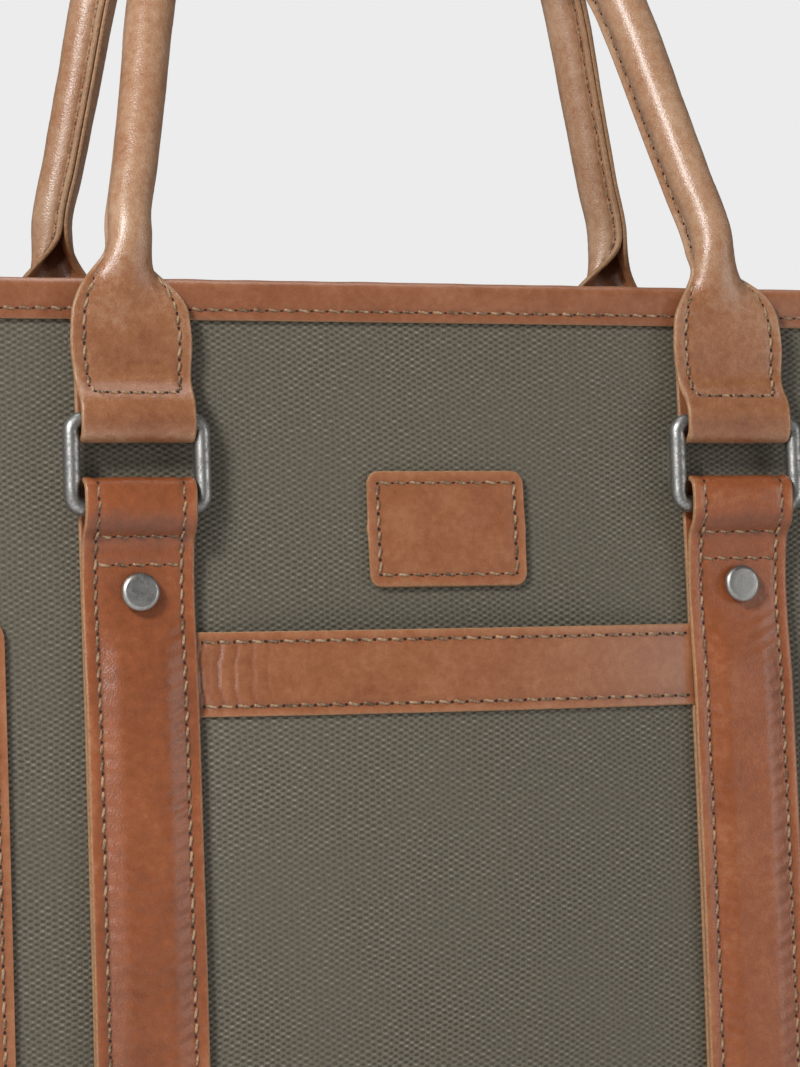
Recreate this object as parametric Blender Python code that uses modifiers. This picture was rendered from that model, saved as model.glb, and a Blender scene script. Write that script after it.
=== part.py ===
"""A top-handled canvas and leather work bag with a front slip pocket and a recessed zip, at real size.

Metres, +Z up. The origin is the middle of the base's underside, +X runs to the right along the front,
and -Y is the front. Run it with blender --background --python part.py, or from the text editor.
"""

import math

import bmesh
import bpy
from mathutils import Matrix, Vector

# Body
HEIGHT = 0.300
HALF_WIDTH = 0.198
BASE_HALF_DEPTH = 0.068
TOP_HALF_DEPTH = 0.045
TAPER_POWER = 1.4
FACE_SAG = 0.006
CORNER_RADIUS = 0.028
SIDE_SPAN = 0.020
GAP = 0.00035
SEAM_GAP = 0.0010

# Sheet materials
CANVAS = 0.0016
LEATHER = 0.0016
STRAP_LEATHER = 0.0018
BINDING_LEATHER = 0.0012
LINING = 0.0005
LINING_DEPTH = CANVAS + 1.5 * GAP

# Base
BASE_THICKNESS = 0.003
BASE_OVERHANG = 0.0050
BOARD_THICKNESS = 0.003

# Straps, rings and rivets
STRAP_X = 0.0955
STRAP_HALF_WIDTH = 0.016
STRAP_OUT = 0.0039
STRAP_BACK_OUT = 0.0014
STRAP_TURN_Z = 0.217
WIRE_RADIUS = 0.0026
RING_HALF_WIDTH = 0.0196
RING_CORNER = 0.0034
LOWER_BAR_Z = 0.2322
LOWER_BAR_OUT = 0.0062
UPPER_BAR_Z = 0.2574
UPPER_BAR_OUT = 0.0072
LOOP_CLEARANCE = 0.0004
STRAP_SLACK = 0.0040
TAB_SLACK = 0.0019
RIVET_Z = 0.207
RIVET_RADIUS = 0.00565
RIVET_HEIGHT = 0.0022
POST_RADIUS = 0.0020
POST_HOLE_RADIUS = 0.0024

# Handles
TAB_HALF_WIDTH = 0.0165
TAB_WIDEST = 0.0177
TAB_OUT = 0.00525
TAB_BACK_OUT = 0.00315
TAB_BACK_TOP = 0.287
NECK_START_Z = 0.290
NECK_LENGTH = 0.028
NECK_STEPS = 7
TAB_LEAN = math.radians(5.7)
FRONT_LEAN = math.radians(21.5)
BACK_LEAN = math.radians(1.5)
BACK_RING_LIFT = 0.0040
BACK_TAB_SLACK = 0.0001
FRONT_LEG_X = 0.0937
BACK_LEG_X = 0.0962
LEG_SLOPE = math.radians(11.0)
LEG_LENGTH = 0.078
ARCH_STEPS = 7
TUBE_RADIUS_LOW = 0.0057
TUBE_RADIUS_HIGH = 0.0066
SEAM_HALF_GAP = 0.0010
SEAM_FIN = 0.0045
NECK_FIN = 0.0010
CORE_RADIUS = 0.0040

# Front pocket, label and leather ends
POCKET_HALF_WIDTH = 0.0790
POCKET_TOP = 0.195
POCKET_BULGE = 0.0060
POCKET_BULGE_HALF_WIDTH = 0.0755
POCKET_CLOTH = 0.0010
POCKET_BAND = 0.024
LABEL_X = 0.0009
LABEL_HALF_WIDTH = 0.0248
LABEL_TOP = 0.242
LABEL_HEIGHT = 0.0336
END_PANEL_U = 0.131
END_PANEL_TOP = 0.201
END_PANEL_CORNER = 0.014

# Top binding and zip
BINDING_DROP = 0.0119
BINDING_OUT = 0.0009
BINDING_IN = -0.00345
PANEL_TOP = 0.2975
ZIP_Z = 0.279
ZIP_HINGE_Y = 0.0295
ZIP_HALF_LENGTH = 0.165
FLAP_THICKNESS = 0.0014
FLAP_EDGE_Y = 0.0075
TAPE_THICKNESS = 0.0007
TEETH_INNER_Y = 0.0008
TEETH_OUTER_Y = 0.0030
TEETH_HALF_HEIGHT = 0.0012
SLIDER_X = -0.135
SLIDER_HALF_LENGTH = 0.0055
SLIDER_HALF_WIDTH = 0.0056
PULLER_WIRE = 0.0009
PULLER_LENGTH = 0.014
PULLER_HALF_WIDTH = 0.0042
SLIDER_PLATE = 0.0012
PULL_LENGTH = 0.036
PULL_HALF_WIDTH = 0.003

# Side rings for a shoulder strap
D_RING_Z = 0.2485
D_RING_OUT = 0.0053
D_RING_WIRE = 0.0017
D_RING_HALF_WIDTH = 0.0135
D_RING_DROP = 0.021
D_TAB_HALF_WIDTH = 0.0100
D_TAB_TOP = 0.281

# Inside
DIVIDER_Y = 0.014
DIVIDER_THICKNESS = 0.005
DIVIDER_HALF_WIDTH = 0.180
DIVIDER_TOP = 0.248
INNER_POCKET_HALF_WIDTH = 0.085
INNER_POCKET_TOP = 0.190
INNER_POCKET_BOTTOM = 0.060
INNER_POCKET_BULGE = 0.009

# The outline's own turning points, measured round the body from the middle of the front
FACE_END_SLOPE = math.atan(2 * FACE_SAG * (HALF_WIDTH - CORNER_RADIUS) / HALF_WIDTH**2)
FACE_END = HALF_WIDTH - CORNER_RADIUS * (1 - math.sin(FACE_END_SLOPE))
CORNER_LENGTH = CORNER_RADIUS * (math.pi / 2 - FACE_END_SLOPE)
CORNER_END = FACE_END + CORNER_LENGTH
SIDE_END = CORNER_END + SIDE_SPAN
SEAM_U = FACE_END + CORNER_LENGTH / 2


def spread(first, last, count):
    """Evenly spaced values from first to last."""
    return [first + (last - first) * i / (count - 1) for i in range(count)]


def smooth(share):
    """A share from 0 to 1 that starts and ends gently."""
    return share * share * (3 - 2 * share)


# The body's outer surface


def half_depth(z):
    """Half the body's depth at this height: deepest at the base, thin at the top."""
    share = (max(z, 0.0) / HEIGHT) ** TAPER_POWER
    return BASE_HALF_DEPTH - (BASE_HALF_DEPTH - TOP_HALF_DEPTH) * share


def face_y(x, z):
    """Y of the front face, which falls back a little towards its ends."""
    return FACE_SAG * (x / HALF_WIDTH) ** 2 - half_depth(z)


def on_body(u, z, out=0.0):
    """A point at distance u round the outline and height z, moved outwards by out."""
    along = abs(u)
    if along <= FACE_END:
        slope = math.atan(2 * FACE_SAG * along / HALF_WIDTH**2)
        point = Vector((along, face_y(along, z), z))
        normal = Vector((math.sin(slope), -math.cos(slope), 0))
    else:
        corner_y = face_y(FACE_END, z) + CORNER_RADIUS * math.cos(FACE_END_SLOPE)
        angle = min(FACE_END_SLOPE + (along - FACE_END) / CORNER_RADIUS, math.pi / 2)
        normal = Vector((math.sin(angle), -math.cos(angle), 0))
        left = 1 - max(0.0, along - CORNER_END) / SIDE_SPAN
        centre = Vector((HALF_WIDTH - CORNER_RADIUS, corner_y * left, z))
        point = centre + CORNER_RADIUS * normal
    point += out * normal
    return Vector((math.copysign(point.x, u), point.y, z))


def face_normal(x, z):
    """The front face's outward direction at this place."""
    across = on_body(x + 0.001, z) - on_body(x - 0.001, z)
    upward = on_body(x, z + 0.001) - on_body(x, z - 0.001)
    return across.cross(upward).normalized()


# Modelling helpers


def clear_scene():
    """Removes everything that the scene starts with."""
    for obj in list(bpy.data.objects):
        bpy.data.objects.remove(obj, do_unlink=True)


def make_collection(name):
    """A collection linked to the scene."""
    made = bpy.data.collections.new(name)
    bpy.context.scene.collection.children.link(made)
    return made


def make_material(name, colour, roughness, metallic=0.0):
    """A Principled material of one plain colour."""
    material = bpy.data.materials.new(name)
    material.use_nodes = True
    shader = material.node_tree.nodes["Principled BSDF"]
    shader.inputs["Base Color"].default_value = (*colour, 1.0)
    shader.inputs["Roughness"].default_value = roughness
    shader.inputs["Metallic"].default_value = metallic
    return material


def add_object(name, data, material):
    """An object in the bag's collection."""
    obj = bpy.data.objects.new(name, data)
    data.materials.append(material)
    BAG.objects.link(obj)
    return obj


def add_pivot(name, location, parent=None):
    """An empty on a joint's axis."""
    pivot = bpy.data.objects.new(name, None)
    pivot.empty_display_size = 0.01
    pivot.location = location
    BAG.objects.link(pivot)
    if parent:
        attach(pivot, parent)
    return pivot


def attach(obj, parent):
    """Parents an object and leaves it where it is."""
    bpy.context.view_layer.update()
    obj.parent = parent
    obj.matrix_parent_inverse = parent.matrix_world.inverted()


def make_sheet(name, columns, rows, place, thickness, material, grow=0.0, facing=1, mirror=""):
    """A sheet of cloth or leather: place(column, row) puts each point of a grid in space.

    grow is -1 to thicken inwards, 1 outwards and 0 both ways. facing -1 turns it to the bag's back.
    """
    grid = bmesh.new()
    bmesh.ops.create_grid(grid, x_segments=len(columns) - 1, y_segments=len(rows) - 1, size=1.0)
    for vert in grid.verts:
        column = columns[round((vert.co.x + 1) / 2 * (len(columns) - 1))]
        row = rows[round((vert.co.y + 1) / 2 * (len(rows) - 1))]
        vert.co = place(column, row)
        vert.co.y *= facing
    if facing < 0:
        bmesh.ops.reverse_faces(grid, faces=grid.faces)
    return finish_sheet(name, grid, thickness, material, grow, mirror)


def finish_sheet(name, grid, thickness, material, grow, mirror=""):
    """Turns a bmesh surface into an object with Mirror and Solidify."""
    mesh = bpy.data.meshes.new(name)
    grid.to_mesh(mesh)
    grid.free()
    mesh.shade_smooth()
    obj = add_object(name, mesh, material)
    if mirror:
        halves = obj.modifiers.new("halves", "MIRROR")
        halves.use_axis = [axis == mirror for axis in "XYZ"]
        halves.merge_threshold = 0.0001
    solid = obj.modifiers.new("thickness", "SOLIDIFY")
    solid.thickness = thickness
    solid.offset = grow
    solid.use_even_offset = True
    return obj


def make_box(name, size, centre, material):
    """A box of this size."""
    shape = bmesh.new()
    bmesh.ops.create_cube(shape, size=1.0, matrix=Matrix.Diagonal((*size, 1.0)))
    mesh = bpy.data.meshes.new(name)
    shape.to_mesh(mesh)
    shape.free()
    obj = add_object(name, mesh, material)
    obj.location = centre
    return obj


def make_plate(name, points, half_thickness, material, bevel=0.0):
    """A flat plate from a closed 2D outline, lying in its local XY plane."""
    curve = bpy.data.curves.new(name, "CURVE")
    curve.dimensions = "2D"
    curve.fill_mode = "BOTH"
    curve.extrude = half_thickness - bevel
    curve.bevel_depth = bevel
    curve.bevel_resolution = 0
    line = curve.splines.new("POLY")
    line.points.add(len(points) - 1)
    for point, (x, y) in zip(line.points, points):
        point.co = (x, y, 0, 1)
    line.use_cyclic_u = True
    return add_object(name, curve, material)


def make_wire(name, points, radius, material, closed=False, resolution=2):
    """A round wire or rope along a line of points."""
    curve = bpy.data.curves.new(name, "CURVE")
    curve.dimensions = "3D"
    curve.bevel_depth = radius
    curve.bevel_resolution = resolution
    curve.use_fill_caps = True
    line = curve.splines.new("POLY")
    line.points.add(len(points) - 1)
    for point, place in zip(line.points, points):
        point.co = (*place, 1)
    line.use_cyclic_u = closed
    return add_object(name, curve, material)


def make_turned(name, profile, steps, material):
    """A turned piece: profile runs down the outer side as (radius, height) pairs."""
    mesh = bpy.data.meshes.new(name)
    verts = [(radius, 0, height) for radius, height in profile]
    mesh.from_pydata(verts, [(i, i + 1) for i in range(len(verts) - 1)], [])
    obj = add_object(name, mesh, material)
    turn = obj.modifiers.new("turn", "SCREW")
    turn.steps = steps
    turn.render_steps = steps
    turn.use_merge_vertices = True
    turn.merge_threshold = 0.00001
    turn.use_smooth_shade = True
    return obj


def cut(obj, cutter):
    """Takes the cutter's shape out of an object."""
    hole = obj.modifiers.new("hole", "BOOLEAN")
    hole.operation = "DIFFERENCE"
    hole.object = cutter


def body_sheet(name, columns, rows, thickness, material, grow=0.0, facing=1, mirror=""):
    """A sheet on the body: rows are (height, distance out from the canvas) pairs."""

    def place(u, row):
        return on_body(u, *row)

    return make_sheet(name, columns, rows, place, thickness, material, grow, facing, mirror)


def face_columns():
    """Columns across the whole front, to the seam halfway round each corner."""
    edge = SEAM_U - SEAM_GAP / 2
    corner = spread(FACE_END, edge, 4)[1:]
    return [-u for u in reversed(corner)] + spread(-FACE_END, FACE_END, 11) + corner


def gusset_columns(hand):
    """Columns from a corner seam to the middle of the side, in rising order."""
    columns = spread(SEAM_U + SEAM_GAP / 2, CORNER_END, 4) + [SIDE_END]
    return columns if hand > 0 else [-u for u in reversed(columns)]


# Body pieces


def build_shell():
    """Canvas panels and gussets, the leather base and the board that stiffens it."""
    rows = [(z, 0.0) for z in spread(BASE_THICKNESS + GAP, PANEL_TOP, 7)]
    front = body_sheet("front_panel", face_columns(), rows, CANVAS, CANVAS_LOOK, -1)
    back = body_sheet("back_panel", face_columns(), rows, CANVAS, CANVAS_LOOK, -1, -1)
    for side, hand in SIDES:
        body_sheet(f"{side}_gusset", gusset_columns(hand), rows, CANVAS, CANVAS_LOOK, -1, 1, "Y")
    base = make_plate(
        "base_panel", outline_ring(0.0, BASE_OVERHANG), BASE_THICKNESS / 2, LEATHER_LOOK, 0.0008
    )
    base.location.z = BASE_THICKNESS / 2
    board_z = BASE_THICKNESS + 2 * GAP + LINING + BOARD_THICKNESS / 2
    board = make_plate(
        "base_board", outline_ring(0.01, -0.0045), BOARD_THICKNESS / 2, BOARD_LOOK
    )
    board.location.z = board_z
    return front, back


def outline_ring(z, out):
    """The whole outline at one height as a closed ring of (x, y) points."""
    quarter = [0.0, 0.08] + spread(FACE_END, CORNER_END, 6)
    right = [on_body(u, z, out) for u in quarter]
    front = [(-p.x, p.y) for p in reversed(right[1:])] + [(p.x, p.y) for p in right]
    return front + [(x, -y) for x, y in reversed(front)]


def build_lining():
    """The cloth bag inside, open at the top."""
    half = [0.0, 0.06, 0.12] + face_columns()[-4:] + gusset_columns(1)
    columns = [-u for u in reversed(half[1:])] + half
    around = [(u, 1) for u in columns] + [(u, -1) for u in reversed(columns)]
    around.append(around[0])
    floor = BASE_THICKNESS + GAP
    rows = [floor] + spread(0.02, PANEL_TOP - GAP, 6)
    grid = bmesh.new()
    bmesh.ops.create_grid(grid, x_segments=len(around) - 1, y_segments=len(rows) - 1, size=1.0)
    for vert in grid.verts:
        u, facing = around[round((vert.co.x + 1) / 2 * (len(around) - 1))]
        z = rows[round((vert.co.y + 1) / 2 * (len(rows) - 1))]
        vert.co = on_body(u, z, -LINING_DEPTH)
        vert.co.y *= facing
    bmesh.ops.remove_doubles(grid, verts=grid.verts, dist=0.00001)
    rim = [e for e in grid.edges if e.is_boundary and max(v.co.z for v in e.verts) < floor + GAP]
    bmesh.ops.contextual_create(grid, geom=rim)
    bmesh.ops.recalc_face_normals(grid, faces=grid.faces)
    return finish_sheet("lining", grid, LINING, LINING_LOOK, -1)


def build_binding():
    """Leather folded over the top edge, and the ledge under it that the zip is sewn to."""
    fold_out = (BINDING_OUT + BINDING_IN) / 2
    fold_radius = (BINDING_OUT - BINDING_IN) / 2
    fold_z = HEIGHT - BINDING_LEATHER / 2 - fold_radius
    rows = [(HEIGHT - BINDING_DROP, BINDING_OUT)]
    for angle in spread(0.0, math.pi, 6):
        rows.append((fold_z + fold_radius * math.sin(angle), fold_out + fold_radius * math.cos(angle)))
    rows.append((HEIGHT - 0.0160, BINDING_IN))
    for side, facing in FACINGS:
        body_sheet(
            f"top_binding_{side}", face_columns(), rows, BINDING_LEATHER, LEATHER_LOOK, 0, facing
        )
        build_facing(side, facing)
    for side, hand in SIDES:
        body_sheet(
            f"top_binding_{side}", gusset_columns(hand), rows, BINDING_LEATHER, LEATHER_LOOK, 0, 1, "Y"
        )


def build_facing(side, facing):
    """The ledge inside the top edge: down from the binding, then level to the zip flap's fold."""
    inner = -(LINING_DEPTH + LINING + GAP + FLAP_THICKNESS / 2)
    edge = -(ZIP_HINGE_Y + FLAP_THICKNESS / 2 + GAP)

    def place(x, row):
        if row == 2:
            return Vector((x, edge, ZIP_Z))
        z = HEIGHT - 0.0165 if row == 0 else ZIP_Z
        return Vector((x, face_y(x, z) - inner, z))

    columns = spread(-ZIP_HALF_LENGTH, ZIP_HALF_LENGTH, 9)
    make_sheet(
        f"zip_facing_{side}", columns, [0, 1, 2], place, FLAP_THICKNESS - GAP, LINING_LOOK, 0, facing
    )


# Straps, rings and rivets


def loop_points(bar_y, bar_z, reach, slack, count):
    """Half a turn of leather round a bar, from its inner side to its outer side, over the far end.

    A positive slack stretches the loop upwards, and a negative one downwards.
    """
    sign = math.copysign(1, slack)
    return [
        (bar_y + reach * math.cos(angle), bar_z + slack + sign * reach * math.sin(angle))
        for angle in spread(0.0, math.pi, count)
    ]


def bar_place(z, out, lift):
    """(y, z) of a ring bar in front of the face at the strap."""
    return face_y(STRAP_X, z + lift) - out, z + lift


def build_strap(side, hand, place_name, facing, lift):
    """A doubled strap: up the face, over the ring's lower bar and back down behind itself."""
    bar_y, bar_z = bar_place(LOWER_BAR_Z, LOWER_BAR_OUT, lift)
    reach = WIRE_RADIUS + LOOP_CLEARANCE + STRAP_LEATHER / 2
    top = STRAP_SLACK - lift
    face = [
        (face_y(STRAP_X, z) - STRAP_OUT, z, 1.0)
        for z in spread(BASE_THICKNESS + GAP, STRAP_TURN_Z, 6)
    ]
    bulge = [
        (face_y(STRAP_X, 0.2225) - STRAP_OUT - 0.0012, 0.2225, 0.7),
        (face_y(STRAP_X, 0.2275) - LOWER_BAR_OUT - reach + 0.0010, 0.2275, 0.2),
    ]
    loop = [(y, z, 0.0) for y, z in reversed(loop_points(bar_y, bar_z, reach, top, 7))]
    back = [
        (face_y(STRAP_X, z) - STRAP_BACK_OUT, z, 1.0)
        for z in [0.224] + spread(STRAP_TURN_Z, BASE_THICKNESS + GAP, 8)
    ]

    def place(share, row):
        y, z, conform = row
        x = hand * STRAP_X + share * STRAP_HALF_WIDTH
        return Vector((x, y + conform * (face_y(x, z) - face_y(STRAP_X, z)), z))

    return make_sheet(
        f"strap_{place_name}_{side}",
        [-1, -0.33, 0.33, 1],
        face + bulge + loop + back,
        place,
        STRAP_LEATHER,
        LEATHER_LOOK,
        0,
        facing,
    )


def rounded_rectangle(half_width, height, corner, steps):
    """Points of a rounded rectangle in X and Z, standing on Z = 0 by its lower bar's centre line."""
    points = []
    for turn, (x, z) in enumerate(
        (
            (half_width - corner, corner),
            (half_width - corner, height - corner),
            (corner - half_width, height - corner),
            (corner - half_width, corner),
        )
    ):
        for angle in spread((turn - 1) * math.pi / 2, turn * math.pi / 2, steps):
            points.append((x + corner * math.cos(angle), 0.0, z + corner * math.sin(angle)))
    return points


def build_ring(side, hand, place_name, facing, lift):
    """A rectangular wire ring whose origin is on its lower bar."""
    low_y, low_z = bar_place(LOWER_BAR_Z, LOWER_BAR_OUT, lift)
    high_y, high_z = bar_place(UPPER_BAR_Z, UPPER_BAR_OUT, lift)
    rise = Vector((high_y - low_y, high_z - low_z))
    points = rounded_rectangle(RING_HALF_WIDTH, rise.length, RING_CORNER, 4)
    ring = make_wire(
        f"ring_{place_name}_{side}", points, WIRE_RADIUS, METAL_LOOK, closed=True
    )
    ring.location = (hand * STRAP_X, facing * low_y, low_z)
    ring.rotation_euler.x = -facing * math.atan2(rise.x, rise.y)
    return ring


def build_rivet(side, hand, place_name, facing, layers):
    """A flat-headed rivet through the strap and the panel, with its cap inside."""
    out_head = STRAP_OUT + STRAP_LEATHER / 2 + GAP
    lining_inside = -(LINING_DEPTH + LINING + GAP)
    normal = face_normal(hand * STRAP_X, RIVET_Z)
    seat = Vector((hand * STRAP_X, face_y(STRAP_X, RIVET_Z), RIVET_Z))
    turned = Vector((normal.x, facing * normal.y, normal.z)).to_track_quat("Z", "Y").to_euler()
    seat.y *= facing
    outward = Vector((normal.x, facing * normal.y, normal.z))
    length = out_head - lining_inside
    head = make_turned(
        f"rivet_{place_name}_{side}",
        (
            (0.0, RIVET_HEIGHT),
            (RIVET_RADIUS - 0.0010, RIVET_HEIGHT),
            (RIVET_RADIUS - 0.0003, RIVET_HEIGHT - 0.0003),
            (RIVET_RADIUS, RIVET_HEIGHT - 0.0010),
            (RIVET_RADIUS, 0.0),
            (POST_RADIUS, 0.0),
            (POST_RADIUS, -length),
            (0.0, -length),
        ),
        16,
        METAL_LOOK,
    )
    head.location = seat + out_head * outward
    head.rotation_euler = turned
    cap = make_turned(
        f"rivet_cap_{place_name}_{side}",
        ((0.0, 0.0), (0.0045, 0.0), (0.0045, -0.0006), (0.0030, -0.0012), (0.0, -0.0013)),
        12,
        METAL_LOOK,
    )
    cap.location = seat + (lining_inside - GAP) * outward
    cap.rotation_euler = turned
    cutter = make_hole_cutter(f"post_hole_{place_name}_{side}", seat, turned)
    for layer in layers:
        cut(layer, cutter)


def make_hole_cutter(name, centre, turned):
    """A cylinder that clears a rivet's post through every layer."""
    shape = bmesh.new()
    bmesh.ops.create_cone(
        shape,
        cap_ends=True,
        segments=12,
        radius1=POST_HOLE_RADIUS,
        radius2=POST_HOLE_RADIUS,
        depth=0.024,
    )
    mesh = bpy.data.meshes.new(name)
    shape.to_mesh(mesh)
    shape.free()
    cutter = bpy.data.objects.new(name, mesh)
    CUTTERS.objects.link(cutter)
    cutter.location = centre
    cutter.rotation_euler = turned
    cutter.hide_render = True
    cutter.display_type = "WIRE"
    return cutter


# Handles


def tube_point(share, radius, fin):
    """(across, forward) of the rolled leather: a tube that closes in a fin of two layers behind it."""
    seam_angle = math.asin(SEAM_HALF_GAP / radius)
    wrap = math.pi - seam_angle
    turn = abs(share) * 6 / 5
    if turn <= 1:
        angle = turn * wrap
        across, forward = radius * math.sin(angle), radius * math.cos(angle)
    else:
        across = SEAM_HALF_GAP
        forward = -radius * math.cos(seam_angle) - fin * (turn - 1) * 5
    return math.copysign(across, share), forward


class Station:
    """One cross-section of a handle's leather."""

    def __init__(self, centre, along, forward, half_width, roundness, radius, fin):
        self.centre = Vector(centre)
        self.along = Vector(along).normalized()
        self.forward = Vector(forward).normalized()
        self.across = self.along.cross(self.forward)
        self.half_width = half_width
        self.roundness = roundness
        self.radius = radius
        self.fin = fin

    def point(self, share):
        """The middle surface at this share of the width, from -1 to 1."""
        across, forward = tube_point(share, self.radius, self.fin)
        across = share * self.half_width * (1 - self.roundness) + across * self.roundness
        forward *= self.roundness
        return self.centre + across * self.across + forward * self.forward


def strip_station(x, y, z, heading, half_width, roundness=0.0):
    """A station whose leather heads along an angle from straight up, positive towards +Y."""
    along = (0, math.sin(heading), math.cos(heading))
    forward = (0, -math.cos(heading), math.sin(heading))
    return Station((x, y, z), along, forward, half_width, roundness, TUBE_RADIUS_LOW, NECK_FIN)


def handle_stations(lift, slack, lean, leg_x):
    """Half a handle: up behind the tab, round the ring's upper bar, up the tab and over the arch."""
    bar_y, bar_z = bar_place(UPPER_BAR_Z, UPPER_BAR_OUT, lift)
    reach = WIRE_RADIUS + LOOP_CLEARANCE + LEATHER / 2
    rise = lift + TAB_SLACK - slack
    stations = []
    for z in (TAB_BACK_TOP, 0.274):
        y = face_y(STRAP_X, z) - TAB_BACK_OUT
        stations.append(strip_station(STRAP_X, y, z + rise, math.pi + TAB_LEAN, TAB_HALF_WIDTH))
    for angle in spread(0.0, math.pi, 6):
        y = bar_y + reach * math.cos(angle)
        z = bar_z - slack - reach * math.sin(angle)
        stations.append(strip_station(STRAP_X, y, z, math.pi + angle, TAB_HALF_WIDTH))
    bulge_y = bar_y - reach + 0.0008
    stations.append(strip_station(STRAP_X, bulge_y, bar_z + 0.0045, 0.25, TAB_HALF_WIDTH))
    for z, half_width in ((0.270, 0.0169), (0.281, TAB_WIDEST), (NECK_START_Z, 0.0170)):
        y = face_y(STRAP_X, z) - TAB_OUT
        stations.append(strip_station(STRAP_X, y, z + rise, TAB_LEAN, half_width))
    place = stations[-1].centre.copy()
    for step in range(1, NECK_STEPS + 1):
        share = step / NECK_STEPS
        heading = TAB_LEAN + (lean - TAB_LEAN) * share
        place.y += NECK_LENGTH / NECK_STEPS * math.sin(heading)
        place.z += NECK_LENGTH / NECK_STEPS * math.cos(heading)
        x = STRAP_X + (leg_x - STRAP_X) * smooth(share)
        stations.append(strip_station(x, place.y, place.z, heading, 0.0165, smooth(share)))
    upward = Vector((0, math.sin(lean), math.cos(lean)))
    forward = Vector((0, -math.cos(lean), math.sin(lean)))
    leg = Vector((-math.sin(LEG_SLOPE), 0, 0)) + math.cos(LEG_SLOPE) * upward
    start = stations[-1].centre
    for share in (0.25, 0.6, 1.0):
        radius = TUBE_RADIUS_LOW + (TUBE_RADIUS_HIGH - TUBE_RADIUS_LOW) * share
        centre = start + share * LEG_LENGTH * leg
        stations.append(Station(centre, leg, forward, 0, 1.0, radius, SEAM_FIN))
    end = stations[-1].centre
    arch_radius = end.x / math.cos(LEG_SLOPE)
    base = end - math.sin(LEG_SLOPE) * arch_radius * upward
    for slope in spread(LEG_SLOPE, math.pi / 2, ARCH_STEPS)[1:]:
        centre = base + math.sin(slope) * arch_radius * upward
        centre.x = arch_radius * math.cos(slope)
        along = Vector((-math.sin(slope), 0, 0)) + math.cos(slope) * upward
        stations.append(Station(centre, along, forward, 0, 1.0, TUBE_RADIUS_HIGH, SEAM_FIN))
    stations[-1].centre.x = 0.0
    return stations


def build_handle(place_name, facing, lift, slack, lean, leg_x):
    """One leather handle rolled round a rope, with a flat tab at each end looped through a ring."""
    stations = handle_stations(lift, slack, lean, leg_x)
    stations[-1].across.x = 0.0
    shares = [side * i / 6 for side, i in [(-1, i) for i in range(6, 0, -1)] + [(1, i) for i in range(7)]]

    def place(share, station):
        return station.point(share)

    cover = make_sheet(
        f"handle_{place_name}", shares, stations, place, LEATHER, LEATHER_LOOK, 0, facing, "X"
    )
    rope = [s.centre for s in stations if s.roundness > 0.9]
    half = [Vector((p.x, facing * p.y, p.z)) for p in rope]
    whole = half + [Vector((-p.x, p.y, p.z)) for p in reversed(half[:-1])]
    core = make_wire(f"handle_rope_{place_name}", whole, CORE_RADIUS, ROPE_LOOK)
    return cover, core


def build_handle_set(place_name, facing, lift, slack, lean, leg_x, panel, lining):
    """Both straps, rings and rivets of one face and the handle between them, on their pivots."""
    low_y, low_z = bar_place(LOWER_BAR_Z, LOWER_BAR_OUT, lift)
    high_y, high_z = bar_place(UPPER_BAR_Z, UPPER_BAR_OUT, lift)
    ring_pivot = add_pivot(f"pivot_ring_{place_name}", (0, facing * low_y, low_z))
    handle_pivot = add_pivot(f"pivot_handle_{place_name}", (0, facing * high_y, high_z), ring_pivot)
    for side, hand in SIDES:
        strap = build_strap(side, hand, place_name, facing, lift)
        build_rivet(side, hand, place_name, facing, (strap, panel, lining))
        attach(build_ring(side, hand, place_name, facing, lift), ring_pivot)
    for piece in build_handle(place_name, facing, lift, slack, lean, leg_x):
        attach(piece, handle_pivot)


# Front pocket, label and leather ends


def pocket_out(u, z, base):
    """How far the pocket stands off the face: nothing at its sides and foot, most at its mouth."""
    across = max(0.0, 1 - (u / POCKET_BULGE_HALF_WIDTH) ** 2)
    return base + POCKET_BULGE * across**0.7 * smooth(min(1.0, z / POCKET_TOP))


def build_pocket():
    """The slip pocket between the straps and the leather band round its mouth."""
    bulging = spread(-POCKET_BULGE_HALF_WIDTH, POCKET_BULGE_HALF_WIDTH, 9)
    columns = [-POCKET_HALF_WIDTH] + bulging + [POCKET_HALF_WIDTH]
    cloth = GAP + POCKET_CLOTH / 2
    band = 2 * GAP + 1.5 * POCKET_CLOTH

    def place_cloth(u, z):
        return on_body(u, z, pocket_out(u, z, cloth))

    def place_band(u, z):
        return on_body(u, z, pocket_out(u, z, band))

    rows = spread(BASE_THICKNESS + GAP, POCKET_TOP - GAP, 7)
    make_sheet("pocket_panel", columns, rows, place_cloth, POCKET_CLOTH, CANVAS_LOOK)
    rows = [POCKET_TOP - POCKET_BAND, POCKET_TOP - POCKET_BAND / 2, POCKET_TOP]
    make_sheet("pocket_band", columns, rows, place_band, POCKET_CLOTH, LEATHER_LOOK)


def build_label():
    """The blank leather patch sewn to the middle of the front."""
    rows = [(z, GAP) for z in spread(LABEL_TOP - LABEL_HEIGHT, LABEL_TOP, 4)]
    columns = spread(LABEL_X - LABEL_HALF_WIDTH, LABEL_X + LABEL_HALF_WIDTH, 5)
    body_sheet("label_patch", columns, rows, LEATHER, LEATHER_LOOK, 1)


def build_end_panels():
    """Leather round each end of the bag, with rounded top corners."""
    bottom = BASE_THICKNESS + GAP

    def place(u, share):
        inward = min(END_PANEL_CORNER, abs(u) - END_PANEL_U)
        across = END_PANEL_CORNER - inward
        top = END_PANEL_TOP - END_PANEL_CORNER + math.sqrt(END_PANEL_CORNER**2 - across**2)
        return on_body(u, bottom + share * (top - bottom), GAP)

    front = [END_PANEL_U + END_PANEL_CORNER * share for share in (0.0, 0.1, 0.4, 1.0)]
    columns = front + face_columns()[-4:] + gusset_columns(1)
    for side, hand in SIDES:
        used = columns if hand > 0 else [-u for u in reversed(columns)]
        make_sheet(
            f"end_panel_{side}", used, spread(0.0, 1.0, 6), place, LEATHER, LEATHER_LOOK, 1, 1, "Y"
        )


# Zip


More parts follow.
